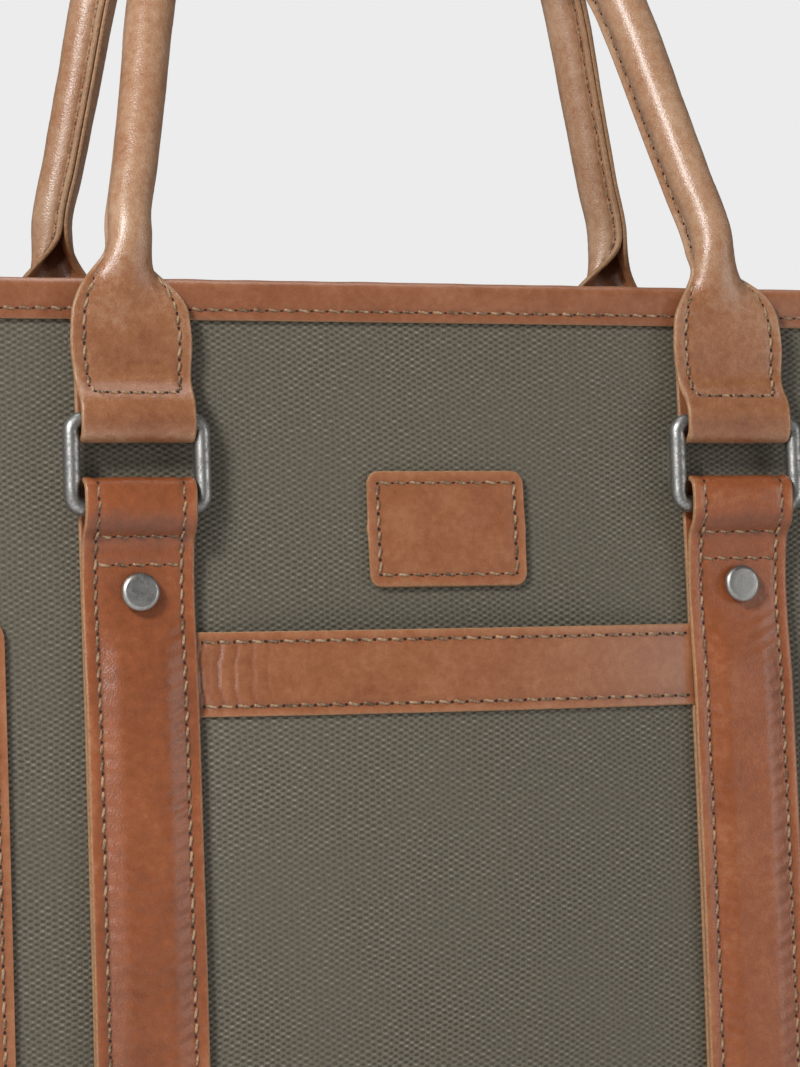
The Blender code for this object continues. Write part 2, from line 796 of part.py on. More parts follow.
def build_zip():
    """Two flaps that fold up from the ledges, each with half of the zip, and the slider."""
    pivots = {}
    for side, facing in FACINGS:
        pivots[side] = add_pivot(f"pivot_zip_{side}", (0, -facing * ZIP_HINGE_Y, ZIP_Z))
        width = ZIP_HINGE_Y - FLAP_EDGE_Y
        flap = make_box(
            f"zip_flap_{side}",
            (2 * ZIP_HALF_LENGTH, width, FLAP_THICKNESS),
            (0, -facing * (ZIP_HINGE_Y + FLAP_EDGE_Y) / 2, ZIP_Z),
            CANVAS_LOOK,
        )
        attach(flap, pivots[side])
        attach(build_zip_half(side, facing), pivots[side])
    slider_pivot = add_pivot(
        "pivot_zip_slider", (SLIDER_X, 0, ZIP_Z - FLAP_THICKNESS / 2 - GAP), pivots["front"]
    )
    attach(build_slider(), slider_pivot)
    build_puller(slider_pivot)


def teeth_z():
    """Height of the middle of the teeth, which hang under the flaps' edges."""
    return ZIP_Z - FLAP_THICKNESS / 2 - GAP - TAPE_THICKNESS / 2


def build_zip_half(side, facing):
    """Half of the zip: its tape, with the row of teeth along the edge as one bar."""
    half_tape = TAPE_THICKNESS / 2
    outline = (
        (0.0125, -half_tape),
        (0.0125, half_tape),
        (TEETH_OUTER_Y, half_tape),
        (TEETH_OUTER_Y, TEETH_HALF_HEIGHT),
        (TEETH_INNER_Y, TEETH_HALF_HEIGHT),
        (TEETH_INNER_Y, -TEETH_HALF_HEIGHT),
        (TEETH_OUTER_Y, -TEETH_HALF_HEIGHT),
        (TEETH_OUTER_Y, -half_tape),
    )
    half = make_plate(f"zip_teeth_{side}", outline, ZIP_HALF_LENGTH - 0.002, TEETH_LOOK)
    half.matrix_world = along_x((0, 0, teeth_z()), -facing)
    return half


def along_x(place, facing):
    """A frame whose local X is the bag's Y towards facing, local Y is up and local Z is along X."""
    frame = Matrix(((0, 0, facing, 0), (facing, 0, 0, 0), (0, 1, 0, 0), (0, 0, 0, 1)))
    return Matrix.Translation(place) @ frame


def build_slider():
    """The slider: a plate over both rows, a web between them and a plate under the front row only."""
    top = TEETH_HALF_HEIGHT + GAP
    web = TEETH_INNER_Y - GAP
    foot = -top - SLIDER_PLATE
    outline = (
        (SLIDER_HALF_WIDTH, top),
        (SLIDER_HALF_WIDTH, top + SLIDER_PLATE),
        (-SLIDER_HALF_WIDTH, top + SLIDER_PLATE),
        (-SLIDER_HALF_WIDTH, top),
        (-web, top),
        (-web, -top),
        (-SLIDER_HALF_WIDTH, -top),
        (-SLIDER_HALF_WIDTH, foot),
        (web, foot),
        (web, top),
    )
    slider = make_plate("zip_slider", outline, SLIDER_HALF_LENGTH, METAL_LOOK)
    slider.matrix_world = along_x((SLIDER_X, 0, teeth_z()), 1)
    return slider


def build_puller(slider_pivot):
    """The bail on top of the slider, and the wire loop and folded leather pull that swing from it."""
    plate_top = teeth_z() + TEETH_HALF_HEIGHT + GAP + SLIDER_PLATE
    bar_z = plate_top + GAP + PULLER_WIRE
    inner, outer = PULLER_WIRE + 0.0012, PULLER_WIRE + 0.0022
    arch_top = 2 * PULLER_WIRE + 0.0008
    arch = (
        (-outer, 0.0),
        (-inner, 0.0),
        (-inner, arch_top),
        (inner, arch_top),
        (inner, 0.0),
        (outer, 0.0),
        (outer, arch_top + 0.0010),
        (-outer, arch_top + 0.0010),
    )
    bail = make_plate("zip_slider_bail", arch, 0.0012, METAL_LOOK)
    bail.rotation_euler.x = math.pi / 2
    bail.location = (SLIDER_X, 0, plate_top + GAP / 2)
    attach(bail, slider_pivot)
    pivot = add_pivot("pivot_zip_puller", (SLIDER_X, 0, bar_z), slider_pivot)
    half = PULLER_HALF_WIDTH
    corners = ((0, -half), (PULLER_LENGTH, -half), (PULLER_LENGTH, half), (0, half))
    loop = make_wire(
        "zip_puller", [(x, y, 0) for x, y in corners], PULLER_WIRE, METAL_LOOK, closed=True
    )
    loop.location = (SLIDER_X, 0, bar_z)
    attach(loop, pivot)
    thickness = 0.0010
    reach = PULLER_WIRE + GAP + thickness / 2
    far = SLIDER_X + PULLER_LENGTH
    rest = [(far + along, -reach + 0.0003) for along in (PULL_LENGTH, 0.006)]
    turn = [(far - reach * math.sin(a), -reach * math.cos(a)) for a in spread(0.0, math.pi, 6)]
    over = [(far + 0.006, 0.0003), (far + PULL_LENGTH, 0.0003)]

    def place(share, row):
        return Vector((row[0], share * PULL_HALF_WIDTH, bar_z + row[1]))

    pull = make_sheet(
        "zip_pull_leather", [-1, 1], rest + turn + over, place, thickness, LEATHER_LOOK
    )
    attach(pull, pivot)


# Side rings


def build_side_ring(side, hand):
    """A leather tab on the gusset with a D-ring hanging in its fold."""
    reach = D_RING_WIRE + LOOP_CLEARANCE + LEATHER / 2
    turn = loop_points(-D_RING_OUT, D_RING_Z, reach, -0.0001, 6)
    inner_out = GAP + 0.0003 + LEATHER / 2
    outer_out = inner_out + LEATHER + GAP
    rows = [(-inner_out, D_TAB_TOP), (-inner_out, D_RING_Z + 0.012)]
    rows += turn
    rows += [(-outer_out, D_RING_Z + 0.012), (-outer_out, D_TAB_TOP - 0.002)]

    def place(share, row):
        return Vector((hand * (HALF_WIDTH - row[0]), share * D_TAB_HALF_WIDTH, row[1]))

    make_sheet(f"side_tab_{side}", [-1, 1], rows, place, LEATHER, LEATHER_LOOK)
    drop = D_RING_DROP - D_RING_HALF_WIDTH
    points = [(0, -D_RING_HALF_WIDTH, 0)]
    for angle in spread(0.0, math.pi, 9):
        across = -D_RING_HALF_WIDTH * math.cos(angle)
        points.append((0, across, -drop - D_RING_HALF_WIDTH * math.sin(angle)))
    points.append((0, D_RING_HALF_WIDTH, 0))
    ring = make_wire(f"side_d_ring_{side}", points, D_RING_WIRE, METAL_LOOK, closed=True)
    ring.location = (hand * (HALF_WIDTH + D_RING_OUT), 0, D_RING_Z)


# Inside


def build_divider():
    """The padded laptop divider and the slip pocket on its front."""
    floor = BASE_THICKNESS + 4 * GAP + LINING + BOARD_THICKNESS
    height = DIVIDER_TOP - floor
    make_box(
        "laptop_divider",
        (2 * DIVIDER_HALF_WIDTH, DIVIDER_THICKNESS, height),
        (0, DIVIDER_Y, floor + height / 2),
        LINING_LOOK,
    )

    def place(x, z):
        across = max(0.0, 1 - (x / INNER_POCKET_HALF_WIDTH) ** 2)
        rise = (z - INNER_POCKET_BOTTOM) / (INNER_POCKET_TOP - INNER_POCKET_BOTTOM)
        bulge = INNER_POCKET_BULGE * across**0.6 * smooth(rise)
        return Vector((x, DIVIDER_Y - DIVIDER_THICKNESS / 2 - GAP - bulge, z))

    columns = spread(-INNER_POCKET_HALF_WIDTH, INNER_POCKET_HALF_WIDTH, 11)
    rows = spread(INNER_POCKET_BOTTOM, INNER_POCKET_TOP, 6)
    make_sheet("inner_pocket", columns, rows, place, POCKET_CLOTH, LINING_LOOK, 1)


SIDES = (("left", -1), ("right", 1))
FACINGS = (("front", 1), ("back", -1))

clear_scene()
BAG = make_collection("messenger_bag")
CUTTERS = make_collection("cutters")
CANVAS_LOOK = make_material("canvas", (0.125, 0.118, 0.088), 0.75)
LEATHER_LOOK = make_material("leather", (0.36, 0.125, 0.045), 0.45)
LINING_LOOK = make_material("lining", (0.055, 0.050, 0.042), 0.85)
BOARD_LOOK = make_material("board", (0.10, 0.09, 0.08), 0.9)
METAL_LOOK = make_material("metal", (0.42, 0.41, 0.39), 0.35, 1.0)
TEETH_LOOK = make_material("zip_teeth", (0.30, 0.27, 0.20), 0.4, 1.0)
ROPE_LOOK = make_material("rope", (0.55, 0.50, 0.42), 0.95)

FRONT_PANEL, BACK_PANEL = build_shell()
LINING_BAG = build_lining()
build_binding()
build_handle_set("front", 1, 0.0, TAB_SLACK, FRONT_LEAN, FRONT_LEG_X, FRONT_PANEL, LINING_BAG)
build_handle_set(
    "back", -1, BACK_RING_LIFT, BACK_TAB_SLACK, BACK_LEAN, BACK_LEG_X, BACK_PANEL, LINING_BAG
)
build_pocket()
build_label()
build_end_panels()
build_zip()
for SIDE, HAND in SIDES:
    build_side_ring(SIDE, HAND)
build_divider()
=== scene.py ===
"""The looks of a top-handled canvas and leather work bag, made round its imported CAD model.

Metres, +Z up, -Y to the front. Each sub-assembly is a class that holds its sizes, builds its meshes and
dresses them, and each finish is a small class that makes one procedural material.
"""

import logging
import math
from dataclasses import dataclass
from enum import Enum
from typing import Any, Sequence

import bpy
import numpy as np
from mathutils import Matrix, Vector


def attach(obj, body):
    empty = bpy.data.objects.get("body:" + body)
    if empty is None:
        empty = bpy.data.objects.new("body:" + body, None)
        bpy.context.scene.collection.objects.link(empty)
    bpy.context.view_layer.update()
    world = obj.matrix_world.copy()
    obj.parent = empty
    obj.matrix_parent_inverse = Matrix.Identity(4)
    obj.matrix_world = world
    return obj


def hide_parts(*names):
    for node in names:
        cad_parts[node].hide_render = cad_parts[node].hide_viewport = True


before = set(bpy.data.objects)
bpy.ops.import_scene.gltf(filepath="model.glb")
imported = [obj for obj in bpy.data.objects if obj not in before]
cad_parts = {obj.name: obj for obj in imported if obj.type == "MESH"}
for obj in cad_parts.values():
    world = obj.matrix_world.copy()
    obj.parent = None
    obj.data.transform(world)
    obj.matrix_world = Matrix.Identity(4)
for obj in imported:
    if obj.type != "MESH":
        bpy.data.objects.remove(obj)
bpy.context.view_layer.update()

Array = np.ndarray
Colour = tuple[float, float, float]
LOG = logging.getLogger("work_bag")
MM = 0.001


class Slot(Enum):
    """The record's material slots."""

    CANVAS = "canvas"
    LEATHER = "leather"
    LINING = "lining"
    BOARD = "board"
    METAL = "metal"
    TEETH = "zip_teeth"
    ROPE = "rope"


class Side(Enum):
    """The bag's two ends, with the sign of X there."""

    LEFT = -1
    RIGHT = 1

    @property
    def word(self) -> str:
        """The name's ending for this end."""
        return self.name.lower()


class Facing(Enum):
    """The bag's two faces: 1 is the front, at -Y, and -1 mirrors it to the back."""

    FRONT = 1
    BACK = -1

    @property
    def word(self) -> str:
        """The name's ending for this face."""
        return self.name.lower()


# Numbers and lines


def spread(first: float, last: float, count: int) -> Array:
    """Evenly spaced values from first to last."""
    return np.linspace(first, last, count)


def smooth(share: Any) -> Any:
    """A share from 0 to 1 that starts and ends gently."""
    share = np.clip(share, 0.0, 1.0)
    return share * share * (3 - 2 * share)


def bell(offset: Any, width: float) -> Any:
    """1 where offset is 0, fading to nothing within about twice the width."""
    return np.exp(-((np.asarray(offset) / width) ** 2))


def unit(vectors: Array) -> Array:
    """Vectors scaled to length 1 along the last axis."""
    return vectors / np.maximum(np.linalg.norm(vectors, axis=-1, keepdims=True), 1e-12)


def run_along(points: Array) -> Array:
    """Distances along a line of points, from 0."""
    return np.concatenate([[0.0], np.cumsum(np.linalg.norm(np.diff(points, axis=0), axis=1))])


def read_off(where: Array, run: Array, rows: Array) -> Array:
    """Rows of values at these distances along a line."""
    return np.stack([np.interp(where, run, column) for column in rows.T], axis=1)


def grid(x: Any, y: Any, z: Any) -> Array:
    """Points from coordinates that broadcast together."""
    return np.stack(np.broadcast_arrays(x, y, z), axis=-1)


def ripple(a: Any, b: Any, size: float, phase: float) -> Any:
    """A gentle uneven swell over a surface, from -1 to 1.

    Args:
        a: one coordinate in metres.
        b: the other coordinate in metres.
        size: the rough distance between crests.
        phase: shifts the pattern, so that two pieces differ.

    Returns:
        The swell at each place.
    """
    total = 0.0
    for step in range(5):
        turn = phase * 1.7 + step * 2.39996
        scale = 2 * math.pi / size * (0.6 + 0.27 * step)
        total = total + np.sin(scale * (a * math.cos(turn) + b * math.sin(turn)) + 3.1 * phase + step)
    return total / 5


def flow(values: Array, step: float) -> tuple[Array, Array]:
    """A smooth line through rows of values, evenly spaced along its length.

    Args:
        values: one row per given point: X, Y and Z, then anything that goes with them.
        step: the distance between the new rows.

    Returns:
        The new rows, and each one's distance along the line.
    """
    place = run_along(values[:, :3])
    slope = np.gradient(values, place, axis=0)
    fine = spread(0.0, place[-1], 16 * len(place))
    left = np.clip(np.searchsorted(place, fine, "right") - 1, 0, len(place) - 2)
    gap = (place[left + 1] - place[left])[:, None]
    x = (fine - place[left])[:, None] / gap
    curve = (
        values[left] * (1 + 2 * x) * (1 - x) ** 2
        + slope[left] * gap * x * (1 - x) ** 2
        + values[left + 1] * x**2 * (3 - 2 * x)
        + slope[left + 1] * gap * x**2 * (x - 1)
    )
    length = run_along(curve[:, :3])
    even = spread(0.0, length[-1], max(4, round(length[-1] / step) + 1))
    return read_off(even, length, curve), even


def along_line(corners: Sequence[tuple[float, float]], pitch: float) -> Array:
    """Holes evenly spaced along a bent line.

    Args:
        corners: the line's points on the flat, in metres.
        pitch: the stitch length.

    Returns:
        The holes' places on the flat.
    """
    line = np.array(corners, float)
    run = run_along(line)
    return read_off(spread(0.0, run[-1], max(1, round(run[-1] / pitch)) + 1), run, line)


def evenly_round(ring: Array, pitch: float) -> Array:
    """Points evenly spaced round a closed line.

    Args:
        ring: the line's points, without the first again at the end.
        pitch: the distance between the new points.

    Returns:
        The new points.
    """
    closed = np.concatenate([ring, ring[:1]])
    run = run_along(closed)
    return read_off(spread(0, run[-1], round(run[-1] / pitch) + 1)[:-1], run, closed)


def filled_in(outline: Array, step: float) -> Array:
    """Adds points to the long straight runs of a closed outline.

    Args:
        outline: its points.
        step: the distance wanted between the new points.

    Returns:
        The old and new points.
    """
    made = []
    for a, b in zip(outline, np.roll(outline, -1, axis=0)):
        count = max(1, round(float(np.linalg.norm(b - a)) / step))
        made.append(a + (b - a) * (np.arange(count) / count)[:, None])
    return np.concatenate(made)


def rounded_box(half_width: float, half_height: float, corner: float, steps: int = 8) -> Array:
    """A rounded rectangle's outline on the flat, anticlockwise from its lower right corner.

    Args:
        half_width: half its width.
        half_height: half its height.
        corner: the corners' radius.
        steps: points in each corner.

    Returns:
        The outline's points.
    """
    w, h = half_width - corner, half_height - corner
    return np.array(
        [
            (x * w + corner * math.cos(angle), y * h + corner * math.sin(angle))
            for turn, (x, y) in enumerate(((1, -1), (1, 1), (-1, 1), (-1, -1)))
            for angle in spread((turn - 1) * math.pi / 2, turn * math.pi / 2, steps)
        ]
    )


# Meshes


def placed(name: str, data: bpy.types.ID) -> bpy.types.Object:
    """Puts a new object in the scene.

    Args:
        name: its name.
        data: its mesh, light or camera.

    Returns:
        The object.
    """
    obj = bpy.data.objects.new(name, data)
    bpy.context.scene.collection.objects.link(obj)
    return obj


class Skin:
    """A mesh in the making: closed shapes whose points carry a flat place, a tone and a cut-edge mark."""

    def __init__(self) -> None:
        """Starts with nothing in it."""
        self.points: list[Array] = []
        self.flat: list[Array] = []
        self.tone: list[Array] = []
        self.cut: list[Array] = []
        self.faces: list[Array] = []
        self.slots: list[Array] = []
        self.count = 0

    def take(
        self,
        points: Array,
        faces: Sequence[Array],
        flat: Array | None = None,
        tone: Array | None = None,
        cut: Array | None = None,
        slot: int = 0,
    ) -> None:
        """Adds one closed shape and turns its faces outwards.

        Args:
            points: its points, in any shape ending in 3.
            faces: arrays of quads or triangles that index the flattened points.
            flat: each point's place on the flat material, in metres.
            tone: how light the finish is at each point, from -1 to 1.
            cut: 1 at a cut edge.
            slot: which of the piece's finishes it takes.
        """
        points = np.asarray(points, float).reshape(-1, 3)
        size = len(points)
        volume = 0.0
        for block in faces:
            a, b, c = (points[block[:, k]] for k in range(3))
            volume += float((a * np.cross(b, c)).sum())
            if block.shape[1] == 4:
                d = points[block[:, 3]]
                volume += float((a * np.cross(c, d)).sum())
        for block in faces:
            turned = block if volume > 0 else block[:, ::-1]
            self.faces.append(turned + self.count)
            self.slots.append(np.full(len(block), slot))
        self.points.append(points)
        self.flat.append(points[:, :2] if flat is None else np.asarray(flat, float).reshape(-1, 2))
        for store, values in ((self.tone, tone), (self.cut, cut)):
            store.append(np.zeros(size) if values is None else np.asarray(values, float).reshape(-1))
        self.count += size

    def build(self, name: str, *materials: bpy.types.Material) -> bpy.types.Object:
        """Makes the Blender object.

        Args:
            name: the piece's name.
            materials: its finishes, in the order of the slots.

        Returns:
            The object, linked to the scene.
        """
        mesh = bpy.data.meshes.new(name)
        mesh.vertices.add(self.count)
        mesh.vertices.foreach_set("co", np.concatenate(self.points).astype(np.float32).ravel())
        corners = np.concatenate([block.ravel() for block in self.faces]).astype(np.int32)
        sizes = np.concatenate([np.full(len(block), block.shape[1]) for block in self.faces])
        mesh.loops.add(len(corners))
        mesh.loops.foreach_set("vertex_index", corners)
        mesh.polygons.add(len(sizes))
        starts = np.concatenate([[0], np.cumsum(sizes)[:-1]]).astype(np.int32)
        mesh.polygons.foreach_set("loop_start", starts)
        mesh.polygons.foreach_set("material_index", np.concatenate(self.slots).astype(np.int32))
        mesh.update(calc_edges=True)
        mesh.validate()
        layer = mesh.uv_layers.new(name="flat")
        layer.data.foreach_set("uv", np.concatenate(self.flat)[corners].astype(np.float32).ravel())
        for label, store in (("tone", self.tone), ("cut", self.cut)):
            values = mesh.attributes.new(label, "FLOAT", "POINT")
            values.data.foreach_set("value", np.concatenate(store).astype(np.float32))
        for material in materials:
            mesh.materials.append(material)
        mesh.shade_smooth()
        mesh.set_sharp_from_angle(angle=math.radians(50))
        return placed(name, mesh)


def ring_faces(index: Array, around: bool = True, along: bool = False) -> Array:
    """Quads between neighbours in a grid of point numbers.

    Args:
        index: the grid, rows along and columns around.
        around: the last column meets the first.
        along: the last row meets the first.

    Returns:
        One row of four point numbers per quad.
    """
    if around:
        index = np.concatenate([index, index[:, :1]], axis=1)
    if along:
        index = np.concatenate([index, index[:1]], axis=0)
    sides = (index[:-1, :-1], index[:-1, 1:], index[1:, 1:], index[1:, :-1])
    return np.stack([side.ravel() for side in sides], axis=1)


def loft(
    skin: Skin,
    loops: Array,
    closed: bool = False,
    flat: Array | None = None,
    tone: Array | None = None,
    cut: Array | None = None,
    slot: int = 0,
) -> None:
    """Adds a tube through closed loops of points, with a fan over each open end.

    Args:
        skin: the mesh in the making.
        loops: the loops, as rows along and points around.
        closed: the last loop meets the first.
        flat: places on the flat material, shaped like the loops.
        tone: tones, shaped like the loops.
        cut: cut-edge marks, shaped like the loops.
        slot: which finish it takes.
    """
    rows, round_count = loops.shape[:2]
    index = np.arange(rows * round_count).reshape(rows, round_count)
    faces = [ring_faces(index, True, closed)]
    points = loops.reshape(-1, 3)
    extras: list[Array | None] = [
        None if values is None else values.reshape(rows * round_count, -1) for values in (flat, tone, cut)
    ]
    if not closed:
        ends = [loops[0].mean(axis=0), loops[-1].mean(axis=0)]
        for number, (row, ring) in enumerate(((0, index[0]), (-1, index[-1]))):
            centre = np.full(round_count, len(points) + number)
            fan = np.stack([centre, ring, np.roll(ring, -1)], axis=1)
            faces.append(fan[:, ::-1] if row == 0 else fan)
        extras = [
            None if e is None else np.concatenate([e, e[index[0]].mean(0)[None], e[index[-1]].mean(0)[None]])
            for e in extras
        ]
        points = np.concatenate([points, ends])
    skin.take(points, faces, extras[0], extras[1], extras[2], slot)


@dataclass
class Face:
    """The outer side of a sheet, read by its flat coordinates; its rows run along it."""

    outer: Array
    normal: Array
    across: Array
    along: Array

    def at(self, across: Array, along: Array) -> tuple[Array, Array]:
        """Points and outward directions at these flat places.

        Args:
            across: distances across the sheet.
            along: distances along the sheet.

        Returns:
            The points and the unit directions.
        """
        column = np.interp(across, self.across, np.arange(len(self.across)))
        row = np.interp(along, self.along, np.arange(len(self.along)))
        c = np.clip(column.astype(int), 0, len(self.across) - 2)
        r = np.clip(row.astype(int), 0, len(self.along) - 2)
        fc, fr = (column - c)[:, None], (row - r)[:, None]
        found = [
            (1 - fr) * ((1 - fc) * values[r, c] + fc * values[r, c + 1])
            + fr * ((1 - fc) * values[r + 1, c] + fc * values[r + 1, c + 1])
            for values in (self.outer, self.normal)
        ]
        return found[0], unit(found[1])


RIM = tuple(math.radians(angle) for angle in (52, 20, -20, -52))
END_TURN = tuple(math.radians(angle) for angle in (14, 40, 66))


@dataclass
class Sheet:
    """A sheet of leather or cloth with rounded cut edges.

    middle is its middle surface, rows along and columns across, and across by along turns outwards.
    """

    middle: Array
    across: Array
    along: Array
    thickness: float
    relief: Array | float = 0.0
    tone: Array | float = 0.0
    inside_tone: float = -0.3
    facing: int = 1
    hand: int = 1
    closed: bool = False
    cut: float = 1.0

    def directions(self) -> tuple[Array, Array, Array]:
        """Finds the sheet's directions.

        Returns:
            Unit directions across, along and outwards at each point of the middle surface.
        """
        if self.closed:
            rows = np.concatenate([self.middle[-1:], self.middle, self.middle[:1]])
            along = unit((rows[2:] - rows[:-2]) / 2)
        else:
            along = unit(np.gradient(self.middle, axis=0))
        across = unit(np.gradient(self.middle, axis=1))
        return across, along, unit(np.cross(across, along))

    def add_to(self, skin: Skin, slot: int = 0) -> Face:
        """Adds the sheet's closed mesh.

        Args:
            skin: the mesh in the making.
            slot: which finish it takes.

        Returns:
            Its outer side, for seams and whatever lies on it.
        """
        across, along, normal = self.directions()
        shape = self.middle.shape[:2]
        half = self.thickness / 2
        relief = np.broadcast_to(self.relief, shape)[..., None]
        tone = np.broadcast_to(self.tone, shape).astype(float)
        outer = self.middle + normal * (half + relief)
        inner = self.middle - normal * half
        round_by = half * 0.9
        flat = np.stack(np.broadcast_arrays(self.across[None, :], self.along[:, None]), axis=-1)
        parts, tones, cuts, places = [outer], [tone], [np.zeros(shape)], [flat]
        for column, sign in ((-1, 1.0), (0, -1.0)):
            turn = RIM if sign > 0 else RIM[::-1]
            top = half + relief[:, column]
            rim = [
                self.middle[:, column]
                + normal[:, column] * (math.sin(angle) * (top if angle > 0 else half))
                + across[:, column] * (sign * math.cos(angle) * round_by)
                for angle in turn
            ]
            block = np.stack(rim, axis=1)
            parts.append(block)
            tones.append(np.zeros(block.shape[:2]))
            cuts.append(np.full(block.shape[:2], self.cut))
            places.append(np.repeat(flat[:, [column]], len(turn), axis=1))
            if sign > 0:
                parts.append(inner[:, ::-1])
                tones.append(np.full(shape, self.inside_tone))
                cuts.append(np.zeros(shape))
                places.append(flat[:, ::-1])
        loops = np.concatenate(parts, axis=1)
        tone_all, cut_all = np.concatenate(tones, axis=1), np.concatenate(cuts, axis=1)
        place_all = np.concatenate(places, axis=1)
        mirror = np.array([self.hand, self.facing, 1.0])
        if not self.closed:
            loops, tone_all, cut_all, place_all = self._with_ends(
                loops, tone_all, cut_all, place_all, along, round_by
            )
        rows, count = loops.shape[:2]
        index = np.arange(rows * count).reshape(rows, count)
        faces = [ring_faces(index, True, self.closed)]
        if not self.closed:
            faces += self._caps(index, shape[1], len(RIM))
        skin.take(loops * mirror, faces, place_all, tone_all, cut_all, slot)
        return Face(outer * mirror, normal * mirror, self.across, self.along)

    def _with_ends(
        self, loops: Array, tone: Array, cut: Array, flat: Array, along: Array, round_by: float
    ) -> tuple[Array, Array, Array, Array]:
        """Adds rows that round the sheet's two ends.

        Args:
            loops: the loops of points.
            tone: their tones.
            cut: their cut-edge marks.
            flat: their flat places.
            along: the sheet's direction along, at its middle surface.
            round_by: how far an end's rounding reaches.

        Returns:
            All four, with the new rows.
        """
        before, after = [], []
        for row, sign, store in ((0, -1.0, before), (-1, 1.0, after)):
            core = self._core_row(row)
            step = np.concatenate(
                [along[row], np.repeat(along[row][-1:], len(RIM), 0), along[row][::-1]]
                + [np.repeat(along[row][:1], len(RIM), 0)]
            )
            for angle in END_TURN:
                thin = core + (loops[row] - core) * math.sin(angle)
                store.append(thin + step * (sign * round_by * math.cos(angle)))
        first, last = np.stack(before), np.stack(after[::-1])
        loops = np.concatenate([first, loops, last])
        count = len(END_TURN)

        def stretched(values: Array, fill: float | None) -> Array:
            """Adds rows for the new ends.

            Args:
                values: one row for each old loop.
                fill: what the new rows hold, or None to copy the nearest row.

            Returns:
                The values with the new rows.
            """
            head = np.repeat(values[:1], count, 0)
            tail = np.repeat(values[-1:], count, 0)
            if fill is not None:
                head, tail = np.full_like(head, fill), np.full_like(tail, fill)
            return np.concatenate([head, values, tail])

        return loops, stretched(tone, 0.0), stretched(cut, self.cut), stretched(flat, None)

    def _core_row(self, row: int) -> Array:
        """The middle surface's points at an end, once for each point of the loop round it.

        Args:
            row: which of the sheet's rows.

        Returns:
            The row's points, half way through the sheet.
        """
        line = self.middle[row]
        right = np.repeat(line[-1:], len(RIM), 0)
        left = np.repeat(line[:1], len(RIM), 0)
        return np.concatenate([line, right, line[::-1], left])

    @staticmethod
    def _caps(index: Array, columns: int, rim: int) -> list[Array]:
        """Faces over the two ends.

        Args:
            index: the grid of point numbers.
            columns: how many columns the sheet has.
            rim: how many points round each cut edge.

        Returns:
            Quads across and triangles in the rounded corners, for both ends.
        """
        faces = []
        for row, flipped in ((0, True), (-1, False)):
            ring = index[row]
            outer, inner = ring[:columns], ring[columns + rim : 2 * columns + rim][::-1]
            quads = np.stack([outer[:-1], outer[1:], inner[1:], inner[:-1]], axis=1)
            right = np.concatenate([[outer[-1]], ring[columns : columns + rim], [inner[-1]]])
            left = np.concatenate([[inner[0]], ring[2 * columns + rim :], [outer[0]]])
            fans = [
                np.stack([np.full(len(arc) - 2, arc[0]), arc[1:-1], arc[2:]], axis=1) for arc in (right, left)
            ]
            for block in (quads, *fans):
                faces.append(block[:, ::-1] if flipped else block)
        return faces


# Materials


class Wire:
    """A shader socket that takes part in Python expressions."""

    def __init__(self, shader: "Shader", socket: bpy.types.NodeSocket) -> None:
        """Keeps the socket and the material it belongs to."""
        self.shader = shader
        self.socket = socket

    def _maths(self, operation: str, other: Any, swapped: bool = False) -> "Wire":
        """One Math node on this socket and another value."""
        pair = [other, self] if swapped else [self, other]
        return self.shader.node("ShaderNodeMath", {"operation": operation}, dict(enumerate(pair)))

    def __add__(self, other: Any) -> "Wire":
        """self + other."""
        return self._maths("ADD", other)

    __radd__ = __add__

    def __sub__(self, other: Any) -> "Wire":
        """self - other."""
        return self._maths("SUBTRACT", other)

    def __rsub__(self, other: Any) -> "Wire":
        """other - self."""
        return self._maths("SUBTRACT", other, swapped=True)

    def __mul__(self, other: Any) -> "Wire":
        """self * other."""
        return self._maths("MULTIPLY", other)

    __rmul__ = __mul__

    def cosine(self) -> "Wire":
        """The cosine, in radians."""
        return self.shader.node("ShaderNodeMath", {"operation": "COSINE"}, {0: self})

    def steps(self, low: float, high: float) -> "Wire":
        """0 below low, 1 above high and smooth between; high may be the lower one."""
        settings = {"interpolation_type": "SMOOTHSTEP"}
        return self.shader.node("ShaderNodeMapRange", settings, {"Value": self, 1: low, 2: high})


